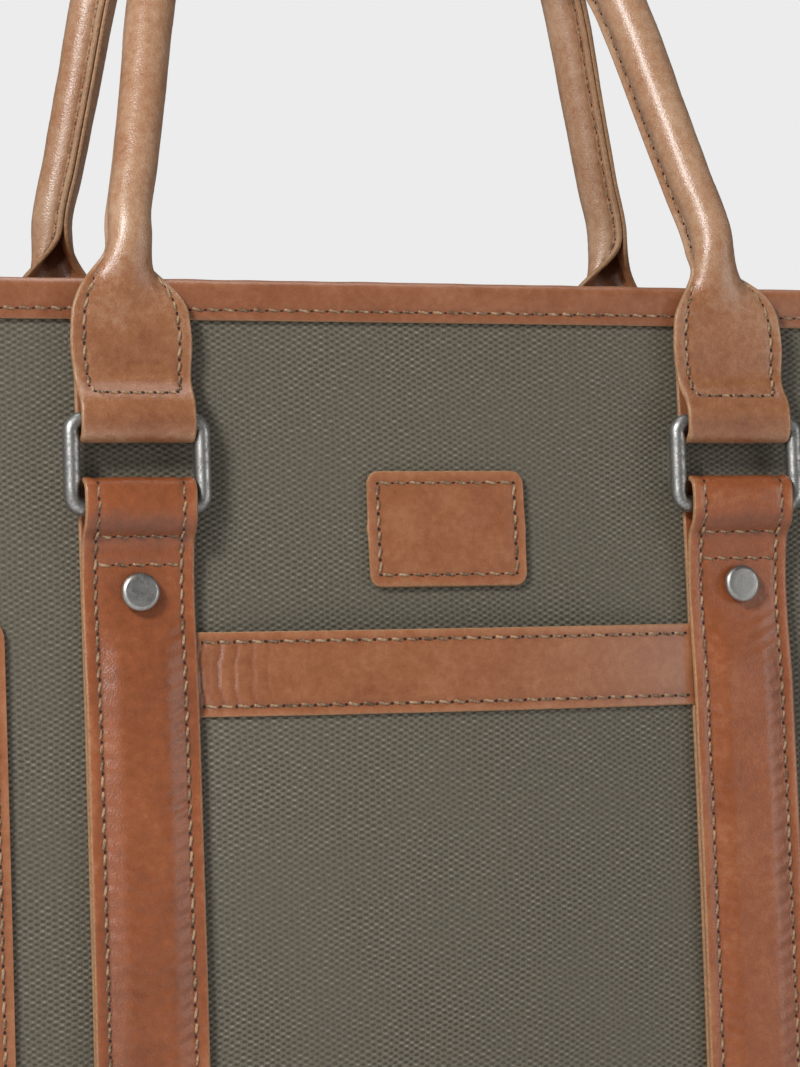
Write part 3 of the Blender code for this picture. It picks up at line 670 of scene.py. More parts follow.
class Shader:
    """One material in the making, on a Principled shader."""

    def __init__(self, name: str) -> None:
        """Makes the material and keeps its node tree and Principled shader.

        Args:
            name: the material's name.
        """
        self.material = bpy.data.materials.new(name)
        self.material.use_nodes = True
        self.tree = self.material.node_tree
        self.surface = self.tree.nodes["Principled BSDF"]

    def node(
        self,
        kind: str,
        settings: dict[str, Any] | None = None,
        inputs: dict[Any, Any] | None = None,
        output: int | str = 0,
    ) -> Wire:
        """Adds one node.

        Args:
            kind: the node's type.
            settings: its own settings, or a ramp's stops as (place, colour) pairs.
            inputs: values or wires by socket name or number.
            output: which output to give back.

        Returns:
            That output as a wire.
        """
        node = self.tree.nodes.new(kind)
        for key, value in (settings or {}).items():
            if key == "stops":
                self._set_stops(node.color_ramp, value)
            else:
                setattr(node, key, value)
        self.connect(node, inputs or {})
        return Wire(self, node.outputs[output])

    @staticmethod
    def _set_stops(ramp: bpy.types.ColorRamp, stops: Sequence[tuple[float, Colour]]) -> None:
        """Gives a colour ramp its stops.

        Args:
            ramp: the ramp.
            stops: a place and a colour for each.
        """
        while len(ramp.elements) < len(stops):
            ramp.elements.new(0.5)
        for element, (place, colour) in zip(ramp.elements, stops):
            element.position = place
            element.color = (*colour, 1.0)

    def connect(self, node: bpy.types.Node, inputs: dict[Any, Any]) -> None:
        """Sets or links a node's inputs.

        Args:
            node: the node.
            inputs: values or wires by socket name or number.
        """
        for key, value in inputs.items():
            socket = node.inputs[key]
            if isinstance(value, Wire):
                self.tree.links.new(value.socket, socket)
            elif isinstance(value, tuple) and len(value) == 3 and socket.type == "RGBA":
                socket.default_value = (*value, 1.0)
            else:
                socket.default_value = value

    def place(self) -> Wire:
        """The place in the piece's own space, in metres."""
        return self.node("ShaderNodeTexCoord", output="Object")

    def flat(self, index: int) -> Wire:
        """The flat place's X or Y, in metres."""
        uv = self.node("ShaderNodeUVMap", {"uv_map": "flat"})
        return self.node("ShaderNodeSeparateXYZ", {}, {0: uv}, output=index)

    def mark(self, name: str) -> Wire:
        """A value stored on the mesh's points."""
        return self.node("ShaderNodeAttribute", {"attribute_name": name}, output="Fac")

    def noise(self, scale: float, detail: float = 2.0, where: Wire | None = None, rough: float = 0.5) -> Wire:
        """Noise from 0 to 1 with this many features to the metre."""
        inputs = {"Vector": where or self.place(), "Scale": scale, "Detail": detail, "Roughness": rough}
        return self.node("ShaderNodeTexNoise", {}, inputs)

    def ramp(self, value: Wire, *stops: tuple[float, Colour]) -> Wire:
        """A colour ramp."""
        return self.node("ShaderNodeValToRGB", {"stops": stops}, {0: value})

    def mix(self, share: Wire | float, first: Wire | Colour, second: Wire | Colour) -> Wire:
        """A colour between two."""
        settings = {"data_type": "RGBA", "clamp_factor": True}
        return self.node("ShaderNodeMix", settings, {0: share, 6: first, 7: second}, output=2)

    def bump(self, height: Wire, distance: float, strength: float = 1.0, after: Wire | None = None) -> Wire:
        """A bump from a height.

        Args:
            height: the height, from 0 to 1.
            distance: how far 1 stands out.
            strength: how much of the bump is used.
            after: a bump that this one is added to.

        Returns:
            The normal.
        """
        inputs: dict[Any, Any] = {"Height": height, "Distance": distance, "Strength": strength}
        if after:
            inputs["Normal"] = after
        return self.node("ShaderNodeBump", {}, inputs)

    def done(self, **sockets: Any) -> bpy.types.Material:
        """Sets the surface's sockets, with underscores for spaces, and gives back the material."""
        self.connect(self.surface, {key.replace("_", " "): value for key, value in sockets.items()})
        return self.material


@dataclass(frozen=True)
class Leather:
    """Vegetable-tanned tan leather: mottled, fine-grained and pale where cut; its tone mark makes it lighter
    near edges and darker along stitch lines, and carries painted highlights and painted shade on the strap
    loops, the handles and the pocket band's creases.
    """

    name: str = "tan_leather"
    light: Colour = (0.43, 0.200, 0.100)
    middle: Colour = (0.294, 0.102, 0.039)
    dark: Colour = (0.165, 0.048, 0.017)
    cut: Colour = (0.37, 0.190, 0.085)
    grain: float = 1500.0
    shine: float = 0.38
    coat: float = 0.22
    pebble: float = 0.55

    def make(self) -> bpy.types.Material:
        """Builds the nodes.

        Returns:
            The material.
        """
        s = Shader(self.name)
        blotch = s.noise(26.0, 3.0)
        cloud = s.noise(95.0, 4.0, rough=0.6)
        mottle = s.noise(420.0, 3.0, rough=0.65)
        pores = s.node("ShaderNodeTexVoronoi", {"feature": "F1"}, {"Vector": s.place(), "Scale": self.grain})
        fine = s.noise(self.grain * 1.6, 2.0, rough=0.7)
        # The tone mark lightens or darkens the colour; on the straps, handles and pocket band it holds
        # painted highlights and painted shade.
        tone = s.mark("tone")
        value = 0.5 + (blotch - 0.5) * 0.50 + (cloud - 0.5) * 0.40 + (mottle - 0.5) * 0.50
        value = value + (fine - 0.5) * 0.40 + tone * 0.30
        colour = s.ramp(value, (0.12, self.dark), (0.50, self.middle), (0.92, self.light))
        raw = s.mark("cut").steps(0.35, 0.8)
        fibres = s.noise(900.0, 3.0)
        edge = s.mix(fibres.steps(0.38, 0.66), tuple(c * 0.72 for c in self.cut), self.cut)
        colour = s.mix(raw, colour, edge)
        rough = self.shine + (mottle - 0.5) * 0.16 + (cloud - 0.5) * 0.14 + raw * 0.3 - tone * 0.04
        height = pores * 0.45 + fine * 0.35 + mottle * 0.6
        normal = s.bump(height, 0.00018, self.pebble)
        normal = s.bump(cloud, 0.0006, 0.30, normal)
        return s.done(
            Base_Color=colour,
            Roughness=rough,
            Normal=normal,
            Specular_IOR_Level=0.5,
            Coat_Weight=self.coat,
            Coat_Roughness=0.34,
        )


@dataclass(frozen=True)
class Canvas:
    """Waxed plain-weave canvas: flat-topped picks, sunk a little and deep in colour, with pale crossings
    between them and bright specks on some crossings; the two tones are partly the weave's own colours and
    partly painted shade and painted light, and the specks are painted highlights.
    """

    name: str = "waxed_canvas"
    pale: Colour = (0.140, 0.122, 0.087)
    deep: Colour = (0.046, 0.039, 0.028)
    tip: Colour = (0.29, 0.265, 0.21)
    warp: float = 1.70 * MM
    weft: float = 0.93 * MM

    def make(self) -> bpy.types.Material:
        """Builds the nodes.

        Returns:
            The material.
        """
        s = Shader(self.name)
        drift = s.noise(55.0, 2.0)
        wander = s.noise(260.0, 2.0)
        across = s.flat(0) + (drift - 0.5) * 0.0030 + (wander - 0.5) * 0.0011
        along = s.flat(1) + (s.noise(48.0, 2.0) - 0.5) * 0.0016 + (s.noise(300.0, 2.0) - 0.5) * 0.0005
        crossing = (across * (math.pi / self.warp)).cosine() * (along * (math.pi / self.weft)).cosine()
        slub = s.noise(700.0, 2.0)
        cloud = s.noise(30.0, 3.0)
        # Deep picks and pale crossings: partly the weave's own colours, partly painted shade in the low picks
        # and painted light on the raised crossings.
        floats = crossing.steps(-0.15, 0.55)
        colour = s.mix(floats, self.pale, self.deep)
        # Painted highlight specks on the crossings.
        bright = crossing.steps(-0.40, -0.90) * slub.steps(0.42, 0.66)
        colour = s.mix(bright, colour, self.tip)
        worn = s.mix((cloud - 0.5) * 1.2 + 0.30, colour, tuple(c * 0.80 for c in self.pale))
        height = 0.5 - crossing * 0.5 + slub * 0.25
        normal = s.bump(height, 0.00030, 0.9)
        rough = 0.52 + (slub - 0.5) * 0.2 - bright * 0.18
        return s.done(Base_Color=worn, Roughness=rough, Normal=normal, Specular_IOR_Level=0.45)


@dataclass(frozen=True)
class Thread:
    """Waxed linen thread of two plies."""

    name: str = "linen_thread"
    pale: Colour = (0.42, 0.28, 0.165)
    deep: Colour = (0.10, 0.052, 0.028)

    def make(self) -> bpy.types.Material:
        """Builds the nodes.

        Returns:
            The material.
        """
        s = Shader(self.name)
        fibre = s.noise(1500.0, 3.0, rough=0.7)
        patch = s.noise(330.0, 1.0)
        value = fibre * 0.55 + patch * 0.45
        colour = s.ramp(value, (0.40, self.deep), (0.60, self.pale))
        normal = s.bump(fibre, 0.0002, 0.6)
        return s.done(Base_Color=colour, Roughness=0.62, Normal=normal, Specular_IOR_Level=0.4)


@dataclass(frozen=True)
class Plain:
    """A plain dark or pale fill with a little grain: the painted shade of needle holes, tape, board and rope.
    """

    name: str
    pale: Colour
    deep: Colour
    grain: float = 900.0
    roughness: float = 0.8

    def make(self) -> bpy.types.Material:
        """Builds the nodes.

        Returns:
            The material.
        """
        s = Shader(self.name)
        grain = s.noise(self.grain, 3.0, rough=0.6)
        cloud = s.noise(60.0, 2.0)
        colour = s.ramp(grain * 0.7 + cloud * 0.3, (0.36, self.deep), (0.64, self.pale))
        normal = s.bump(grain, 0.00018, 0.5)
        return s.done(Base_Color=colour, Roughness=self.roughness, Normal=normal)


@dataclass(frozen=True)
class Twill:
    """A diagonal weave, for the lining and the zip's tape."""

    name: str
    pale: Colour
    deep: Colour
    pitch: float = 0.9 * MM

    def make(self) -> bpy.types.Material:
        """Builds the nodes.

        Returns:
            The material.
        """
        s = Shader(self.name)
        turn = 2 * math.pi / self.pitch
        wander = (s.noise(120.0, 2.0) - 0.5) * 0.0006
        ribs = ((s.flat(0) + s.flat(1) * 0.6 + wander) * turn).cosine()
        cross = ((s.flat(1) - s.flat(0) * 0.15) * (turn * 1.4)).cosine()
        height = 0.5 + ribs * 0.35 + cross * 0.15
        slub = s.noise(500.0, 2.0)
        colour = s.mix(height * 0.7 + slub * 0.3, self.deep, self.pale)
        normal = s.bump(height, 0.00022, 0.7)
        return s.done(Base_Color=colour, Roughness=0.78, Normal=normal)


@dataclass(frozen=True)
class Metal:
    """Cast or pressed metal with patina in its hollows and worn bright spots."""

    name: str
    bright: Colour
    dull: Colour
    roughness: float = 0.34
    speckle: float = 900.0
    depth: float = 0.00022

    def make(self) -> bpy.types.Material:
        """Builds the nodes.

        Returns:
            The material.
        """
        s = Shader(self.name)
        spots = s.noise(self.speckle, 4.0, rough=0.7)
        cloud = s.noise(self.speckle * 0.22, 3.0)
        fine = s.noise(self.speckle * 3.2, 2.0)
        worn = (spots * 0.6 + cloud * 0.4).steps(0.40, 0.60)
        colour = s.mix(worn, self.dull, self.bright)
        rough = self.roughness + 0.16 - worn * 0.20 + (fine - 0.5) * 0.18
        normal = s.bump(spots * 0.7 + fine * 0.3, self.depth, 0.8)
        return s.done(Base_Color=colour, Metallic=1.0, Roughness=rough, Normal=normal)


class Finishes:
    """Every material of the bag, made once. A finish that is sewn comes with its thread and needle holes."""

    def __init__(self) -> None:
        """Makes them."""
        thread = Thread().make()
        # The needle-hole finish is painted shade for the holes.
        hole = Plain("needle_hole", (0.030, 0.014, 0.008), (0.012, 0.006, 0.004)).make()
        self.leather = (Leather().make(), thread, hole)
        binding = Leather(
            "binding_leather", light=(0.39, 0.175, 0.088), middle=(0.26, 0.091, 0.038), grain=1700.0
        )
        self.binding = (binding.make(), thread, hole)
        # The handle finish's pale light colour is what the painted highlight on the tube reaches.
        handle = Leather(
            "handle_leather", (0.48, 0.30, 0.185), (0.300, 0.119, 0.050), shine=0.34, coat=0.4, pebble=1.0
        )
        self.handle = (handle.make(), thread, hole)
        strap = Leather(
            "strap_leather", (0.44, 0.190, 0.085), (0.285, 0.078, 0.023), shine=0.34, coat=0.30, pebble=0.8
        )
        self.strap = (strap.make(), thread, hole)
        self.canvas = Canvas().make()
        self.sewn_canvas = (self.canvas, thread, hole)
        self.lining = Twill("lining_twill", (0.075, 0.067, 0.055), (0.028, 0.025, 0.020)).make()
        self.tape = Twill("zip_tape", (0.060, 0.050, 0.038), (0.022, 0.018, 0.014), 0.6 * MM).make()
        self.board = Plain("stiffening_board", (0.12, 0.11, 0.10), (0.07, 0.065, 0.06)).make()
        self.rope = Plain("cotton_rope", (0.62, 0.56, 0.46), (0.36, 0.31, 0.24), 600.0).make()
        pewter = Metal("worn_pewter", (0.44, 0.435, 0.42), (0.22, 0.215, 0.205), 0.40, 1100.0, 0.00009)
        self.pewter = pewter.make()
        self.nickel = Metal(
            "brushed_nickel", (0.44, 0.43, 0.41), (0.33, 0.325, 0.31), 0.36, 2600.0, 0.00003
        ).make()
        self.brass = Metal("aged_brass", (0.62, 0.50, 0.28), (0.24, 0.18, 0.09), 0.30, 1400.0, 0.00008).make()


# The body's shape and what is sewn on it


@dataclass(frozen=True)
class BagShape:
    """The bag's outer surface and the sizes that its pieces share."""

    height: float = 300 * MM
    half_width: float = 198 * MM
    base_half_depth: float = 68 * MM
    top_half_depth: float = 45 * MM
    taper: float = 1.4
    sag: float = 6 * MM
    corner: float = 28 * MM
    side_span: float = 20 * MM
    gap: float = 0.35 * MM
    seam_gap: float = 1.0 * MM
    canvas: float = 1.6 * MM
    leather: float = 1.6 * MM
    lining: float = 0.5 * MM
    base: float = 3.0 * MM
    panel_top: float = 297.5 * MM
    strap_x: float = 95.5 * MM

    @property
    def slope(self) -> float:
        """How far the face has turned where its corner starts."""
        return math.atan(2 * self.sag * (self.half_width - self.corner) / self.half_width**2)

    @property
    def face_end(self) -> float:
        """Distance round the outline from the middle of the face to its corner."""
        return self.half_width - self.corner * (1 - math.sin(self.slope))

    @property
    def corner_end(self) -> float:
        """Distance round the outline to the end of the corner."""
        return self.face_end + self.corner * (math.pi / 2 - self.slope)

    @property
    def side_end(self) -> float:
        """Distance round the outline to the middle of the bag's end."""
        return self.corner_end + self.side_span

    @property
    def seam_u(self) -> float:
        """Distance round the outline to the seam in the middle of the corner."""
        return (self.face_end + self.corner_end) / 2

    @property
    def floor(self) -> float:
        """Height at which the walls start, just over the base."""
        return self.base + self.gap

    @property
    def lining_depth(self) -> float:
        """How far inside the canvas's outer side the lining's outer side lies."""
        return self.canvas + 1.5 * self.gap

    def half_depth(self, z: Any) -> Any:
        """Half the depth at this height: deepest at the base, thin at the top."""
        share = (np.maximum(z, 0.0) / self.height) ** self.taper
        return self.base_half_depth - (self.base_half_depth - self.top_half_depth) * share

    def face_y(self, x: Any, z: Any) -> Any:
        """Y of the front, which falls back a little towards its ends."""
        return self.sag * (x / self.half_width) ** 2 - self.half_depth(z)

    def at(self, u: Any, z: Any, out: Any = 0.0) -> tuple[Array, Array]:
        """Points on the front half of the body and their outward directions.

        Args:
            u: distance round the outline from the middle of the front.
            z: height.
            out: distance outwards.

        Returns:
            The points and the unit directions.
        """
        u, z, out = np.broadcast_arrays(np.asarray(u, float), z, out)
        along = np.abs(u)
        bent = np.arctan(2 * self.sag * along / self.half_width**2)
        round_angle = np.minimum(self.slope + (along - self.face_end) / self.corner, math.pi / 2)
        on_face = along <= self.face_end
        angle = np.where(on_face, bent, round_angle)
        normal = np.stack([np.sin(angle), -np.cos(angle), np.zeros_like(angle)], axis=-1)
        corner_y = self.face_y(self.face_end, z) + self.corner * math.cos(self.slope)
        left = 1 - np.maximum(0.0, along - self.corner_end) / self.side_span
        face = np.stack([along, self.face_y(along, z), z], axis=-1)
        centre = np.stack([np.full_like(along, self.half_width - self.corner), corner_y * left, z], axis=-1)
        point = np.where(on_face[..., None], face, centre + self.corner * normal)
        hand = np.where(u < 0, -1.0, 1.0)
        point, normal = point + out[..., None] * normal, normal.copy()
        point[..., 0] *= hand
        normal[..., 0] *= hand
        return point, normal

    def round_end(self, first: float, step: float) -> tuple[Array, Array]:
        """Places round the right end, from the front to the back.

        Args:
            first: distance round the outline where they start and, on the back, end.
            step: the distance between them.

        Returns:
            Each place's distance round the outline, and 1 on the front or -1 on the back.
        """
        corner = spread(first, self.corner_end, max(3, round((self.corner_end - first) / step)))
        side = spread(self.corner_end, self.side_end, 9)[1:]
        half = np.concatenate([corner, side])
        return np.concatenate([half, half[-2::-1]]), np.repeat([1.0, -1.0], [len(half), len(half) - 1])

    def whole_round(self, step: float) -> tuple[Array, Array]:
        """Places round the whole outline, starting at the right end and passing the front first.

        Args:
            step: the distance between them.

        Returns:
            Each place's distance round the outline, and 1 on the front or -1 on the back.
        """
        face = spread(-self.face_end, self.face_end, round(2 * self.face_end / step))
        corner = spread(self.face_end, self.corner_end, 11)[1:]
        side = spread(self.corner_end, self.side_end, 8)[1:]
        right = np.concatenate([corner, side])
        front = np.concatenate([-right[::-1], face, right])[::-1]
        return np.concatenate([front, front[-2:0:-1]]), np.repeat([1.0, -1.0], [len(front), len(front) - 2])

    def turned(self, u: Array, face: Array, z: Any, out: Any) -> Array:
        """Points at places from round_end or whole_round.

        Args:
            u: distances round the wall.
            face: 1 on the front, -1 on the back.
            z: heights.
            out: distance outside the wall.

        Returns:
            The points.
        """
        point, _ = self.at(u, z, out)
        point[..., 1] *= face
        return point


SHAPE = BagShape()


def trimmed(distance: Array, length: float, corner: float) -> Array:
    """How far rounded corners cut into a patch's edge at this distance along it."""
    inward = np.minimum(corner, np.minimum(distance, length - distance))
    return corner - np.sqrt(np.maximum(corner**2 - (corner - inward) ** 2, 0.0))


def cornered(length: float, corner: float, step: float, steps: int = 7) -> Array:
    """Distances along a patch, closer together over its rounded corners.

    Args:
        length: the panel's length.
        corner: its corners' radius.
        step: the spacing wanted on its straight part.
        steps: how many points on each corner.

    Returns:
        The places along it.
    """
    turn = corner * (1 - np.cos(spread(0, math.pi / 2, steps)))
    middle = spread(corner, length - corner, max(3, round((length - 2 * corner) / step)))
    return np.concatenate([turn[:-1], middle, length - turn[-2::-1]])


def arc(centre: tuple[float, float], radius: float, start: float, stop: float) -> list[tuple[float, float]]:
    """Points of an arc on the flat, its angles in degrees."""
    angles = [math.radians(angle) for angle in spread(start, stop, 7)]
    return [(centre[0] + radius * math.cos(a), centre[1] + radius * math.sin(a)) for a in angles]


def fit(obj: bpy.types.Object, body: str, slot: Slot, *nodes: str) -> bpy.types.Object:
    """Puts a finished piece on its body in place of its CAD nodes.

    Args:
        obj: the piece.
        body: the body it rides on.
        slot: not used.
        nodes: the CAD nodes that it replaces.

    Returns:
        The piece.
    """
    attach(obj, body)
    if nodes:
        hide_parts(*nodes)
    LOG.info("%s rides on %s", obj.name, body)
    return obj


def dress(node: str, material: bpy.types.Material) -> None:
    """Gives a CAD node that keeps its shape its finish.

    Args:
        node: the node's name.
        material: its finish.
    """
    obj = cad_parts[node]
    if not obj.material_slots:
        obj.data.materials.append(material)
    for kept in obj.material_slots:
        kept.material = material
    LOG.info("%s keeps its shape", node)


@dataclass(frozen=True)
class Seam:
    """A row of stitches in two-ply thread, each diving into a needle hole at both ends."""

    radius: float = 0.48 * MM
    lift: float = 0.12 * MM
    dive: float = 0.66 * MM
    slant: float = 0.34 * MM
    hole: float = 0.62 * MM
    stations: int = 11
    around: int = 10
    thread_slot: int = 1
    hole_slot: int = 2

    def sew(self, skin: Skin, points: Array, normals: Array, closed: bool = False) -> None:
        """Adds the stitches between needle holes.

        Args:
            skin: the mesh in the making.
            points: the holes, on the leather's outer side.
            normals: the outward directions there.
            closed: the last hole is joined to the first.
        """
        if closed:
            points, normals = np.concatenate([points, points[:1]]), np.concatenate([normals, normals[:1]])
        chance = np.random.default_rng(len(points))
        start, run = points[:-1], np.diff(points, axis=0)
        count = len(run)
        lean = unit(normals[:-1] + normals[1:])
        heading = unit(run)
        side = unit(np.cross(lean, heading))
        rise = np.cross(heading, side)
        share = spread(0, 1, self.stations)
        bend = np.abs(2 * share - 1)
        vary = 1 + 0.14 * (chance.random((count, 1)) - 0.5)
        slant = self.slant * (1 + 0.8 * (chance.random((count, 1)) - 0.5))
        centre = (
            start[:, None]
            + run[:, None] * (0.13 + 0.74 * share)[None, :, None]
            + rise[:, None] * ((self.lift - self.dive * bend**5) * vary)[..., None]
            + side[:, None] * (slant * (1 - 2 * share))[..., None]
        )
        angle = np.arange(self.around) * 2 * math.pi / self.around
        twist = math.pi * (2.2 * share[None, :] + chance.random((count, 1)))
        lobes = 0.78 + 0.24 * np.abs(np.cos(angle[None, None, :] - twist[..., None]))
        width = self.radius * (1 - 0.30 * bend**4)[None, :, None] * lobes * vary[..., None]
        ring = (
            centre[:, :, None]
            + side[:, None, None] * (np.cos(angle) * width)[..., None]
            + rise[:, None, None] * (np.sin(angle) * width)[..., None]
        )
        ends = centre[:, [0, -1]]
        block = self.stations * self.around + 2
        made = np.concatenate([ring.reshape(count, -1, 3), ends], axis=1)
        index = np.arange(block - 2).reshape(self.stations, self.around)
        tube = ring_faces(index)
        caps = [
            np.stack([np.full(self.around, block - 2), np.roll(index[0], -1), index[0]], axis=1),
            np.stack([np.full(self.around, block - 1), index[-1], np.roll(index[-1], -1)], axis=1),
        ]
        shift = (np.arange(count) * block)[:, None, None]
        faces = [(part[None] + shift).reshape(-1, part.shape[1]) for part in (tube, *caps)]
        skin.take(made, faces, slot=self.thread_slot)
        self._punch(skin, points[:-1] if closed else points, normals[:-1] if closed else normals)

    def _punch(self, skin: Skin, points: Array, normals: Array) -> None:
        """Adds the needle holes as thin dark lenses on the surface: painted shade where each hole is.

        Args:
            skin: the mesh in the making.
            points: the holes, on the leather's outer side.
            normals: the outward directions there.
        """
        count = len(points)
        hint = np.where(np.abs(normals[:, 2:]) > 0.9, [[1.0, 0, 0]], [[0, 0, 1.0]])
        side = unit(np.cross(hint, normals))
        other = np.cross(normals, side)
        angle = np.arange(8) * math.pi / 4
        ring = (
            points[:, None]
            + side[:, None] * (np.cos(angle) * self.hole)[None, :, None]
            + other[:, None] * (np.sin(angle) * self.hole)[None, :, None]
        )
        top = points + normals * (0.09 * MM)
        under = points - normals * (0.3 * MM)
        made = np.concatenate([ring, top[:, None], under[:, None]], axis=1)
        index = np.arange(8)
        caps = [
            np.stack([np.full(8, 8), index, np.roll(index, -1)], axis=1),
            np.stack([np.full(8, 9), np.roll(index, -1), index], axis=1),
        ]
        shift = (np.arange(count) * 10)[:, None, None]
        faces = [(part[None] + shift).reshape(-1, 3) for part in caps]
        skin.take(made, faces, slot=self.hole_slot)


SEAM = Seam()


@dataclass
class Shell:
    """The canvas walls, the leather base and the lining."""

    finishes: Finishes
    step: float = 2.6 * MM
    overhang: float = 5.0 * MM
    sag: float = 0.35 * MM

    def build(self) -> None:
        """Makes every piece of the body."""
        for facing in Facing:
            self.panel(facing)
        for side in Side:
            self.gusset(side)
        self.base()
        self.lining()
        dress("base_board", self.finishes.board)

    def panel(self, facing: Facing) -> None:
        """A canvas face from corner seam to corner seam.

        Args:
            facing: front or back.
        """
        edge = SHAPE.seam_u - SHAPE.seam_gap / 2
        u = spread(-edge, edge, round(2 * edge / self.step))
        z = spread(SHAPE.floor, SHAPE.panel_top, round(SHAPE.panel_top / self.step))
        middle, _ = SHAPE.at(u[None, :], z[:, None], -SHAPE.canvas / 2)
        swell = ripple(u[None, :], z[:, None], 0.11, facing.value + 0.4)
        edges = bell(np.abs(u)[None, :] - edge, 0.003) * 0.0004
        relief = -self.sag * (0.5 + 0.5 * swell) - edges
        skin = Skin()
        Sheet(middle, u, z, SHAPE.canvas, relief, facing=facing.value).add_to(skin)
        obj = skin.build(f"canvas_{facing.word}", self.finishes.canvas)
        fit(obj, "bag", Slot.CANVAS, f"{facing.word}_panel")
        2 * edge

    def gusset(self, side: Side) -> None:
        """The canvas of one end, folded a little inwards down its middle.

        Args:
            side: which end.
        """
        u, face = SHAPE.round_end(SHAPE.seam_u + SHAPE.seam_gap / 2, self.step)
        z = spread(SHAPE.floor, SHAPE.panel_top, round(SHAPE.panel_top / self.step))
        middle = SHAPE.turned(u[None, :], face[None, :], z[:, None], -SHAPE.canvas / 2)
        across = run_along(middle[len(z) // 2])
        relief = -0.0003 * (1 + ripple(across[None, :], z[:, None], 0.06, side.value + 2.0))
        skin = Skin()
        Sheet(middle, across, z, SHAPE.canvas, relief, hand=side.value).add_to(skin)
        obj = skin.build(f"canvas_{side.word}", self.finishes.canvas)
        fit(obj, "bag", Slot.CANVAS, f"{side.word}_gusset")

    def base(self) -> None:
        """The leather base, which stands out round the body like a welt."""
        u, face = SHAPE.whole_round(4 * MM)
        edge = SHAPE.turned(u, face, 0.0, self.overhang)
        rim = (
            (0.0011, 0.0), (0.0003, 0.0004), (0.0, 0.0012), (0.0, 0.0019), (0.0003, 0.0026), (0.0012, 0.0030)
        )
        outward = unit(edge - SHAPE.turned(u, face, 0.0, 0.0))
        loops = [edge * (share, share, 0) for share in (0.12, 0.4, 0.7, 0.9)]
        loops += [(edge - outward * inset) * (1, 1, 0) + (0, 0, z) for inset, z in rim]
        loops += [edge * (share, share, 0) + (0, 0, SHAPE.base) for share in (0.9, 0.7, 0.4, 0.12)]
        rows = np.stack(loops)
        tone = np.zeros(rows.shape[:2])
        tone[5:9] = 0.35
        skin = Skin()
        loft(skin, rows, tone=tone)
        at_edge = edge - outward * (2.3 * MM)
        even = evenly_round(at_edge * (1, 1, 0) + (0, 0, SHAPE.base), 4.7 * MM)
        SEAM.sew(skin, even, np.tile([0.0, 0.0, 1.0], (len(even), 1)), closed=True)
        fit(skin.build("base_leather", *self.finishes.leather), "bag", Slot.LEATHER, "base_panel")

    def lining(self) -> None:
        """The twill bag inside, open at the top."""
        u, face = SHAPE.whole_round(5 * MM)
        z = spread(SHAPE.floor + SHAPE.lining, SHAPE.panel_top - SHAPE.gap, 60)
        out = -SHAPE.lining_depth - SHAPE.lining / 2
        middle = SHAPE.turned(u[:, None], face[:, None], z[None, :], out)
        along = run_along(middle[:, 30])
        skin = Skin()
        Sheet(middle, z, along, SHAPE.lining, closed=True).add_to(skin)
        edge = SHAPE.turned(u, face, SHAPE.floor, -SHAPE.lining_depth)
        shares = (0.1, 0.45, 0.8, 1.0)
        floor = [edge * (s, s, 1) for s in shares]
        floor += [edge * (s, s, 1) + (0, 0, SHAPE.lining) for s in shares[::-1]]
        loft(skin, np.stack(floor))
        obj = fit(skin.build("lining_cloth", self.finishes.lining), "bag", Slot.LINING, "lining")


@dataclass
class Binding:
    """The leather folded over the top edge, sewn near its lower edge."""

    finishes: Finishes
    drop: float = 11.9 * MM
    out: float = 0.9 * MM
    inside: float = -3.45 * MM
    thickness: float = 1.2 * MM
    inner_drop: float = 16.0 * MM
    seam_rise: float = 2.6 * MM
    pitch: float = 4.7 * MM
    step: float = 2.2 * MM
    groove: float = 0.22 * MM
    groove_width: float = 0.9 * MM
    wave: float = 0.16 * MM
    puff: float = 0.14 * MM
    most: float = 0.3 * MM

    def build(self) -> None:
        """Makes the binding in one piece round the top."""
        radius = (self.out - self.inside) / 2
        middle_out = (self.out + self.inside) / 2
        fold = SHAPE.height - self.thickness / 2 - radius
        outer = [(z, self.out) for z in spread(SHAPE.height - self.drop, fold, 12)]
        angles = spread(0, math.pi, 11)[1:]
        turn = [(fold + radius * math.sin(a), middle_out + radius * math.cos(a)) for a in angles]
        inner = [(z, self.inside) for z in spread(fold, SHAPE.height - self.inner_drop, 5)[1:]]
        profile = np.array(outer + turn + inner)
        run = run_along(profile)
        u, face = SHAPE.whole_round(self.step)
        middle = SHAPE.turned(u[:, None], face[:, None], profile[None, :, 0], profile[None, :, 1])
        length = run_along(middle[:, 0])
        groove = -self.groove * bell(run - self.seam_rise, self.groove_width)
        wave = self.wave * ripple(length[:, None], run[None, :], 24 * MM, 1.3)
        puff = self.puff * bell(run - self.drop * 0.55, 3 * MM)
        relief = np.minimum(groove + puff + wave * smooth(run / (4 * MM)), self.most)
        tone = -0.35 * bell(run - self.seam_rise, 1 * MM) + 0.5 * bell(run - self.drop, 1.5 * MM)
        skin = Skin()
        side = Sheet(middle, run, length, self.thickness, relief, tone, closed=True, cut=0.75).add_to(skin)
        count = round(float(length[-1]) / self.pitch)
        places = spread(0, float(length[-1]) + self.step, count + 1)[:-1]
        points, normals = side.at(np.full(count, self.seam_rise), places)
        SEAM.sew(skin, points, normals, closed=True)
        obj = skin.build("binding_leather", *self.finishes.binding)
        names = [f"top_binding_{word}" for word in ("front", "back", "left", "right")]
        fit(obj, "bag", Slot.LEATHER, *names)


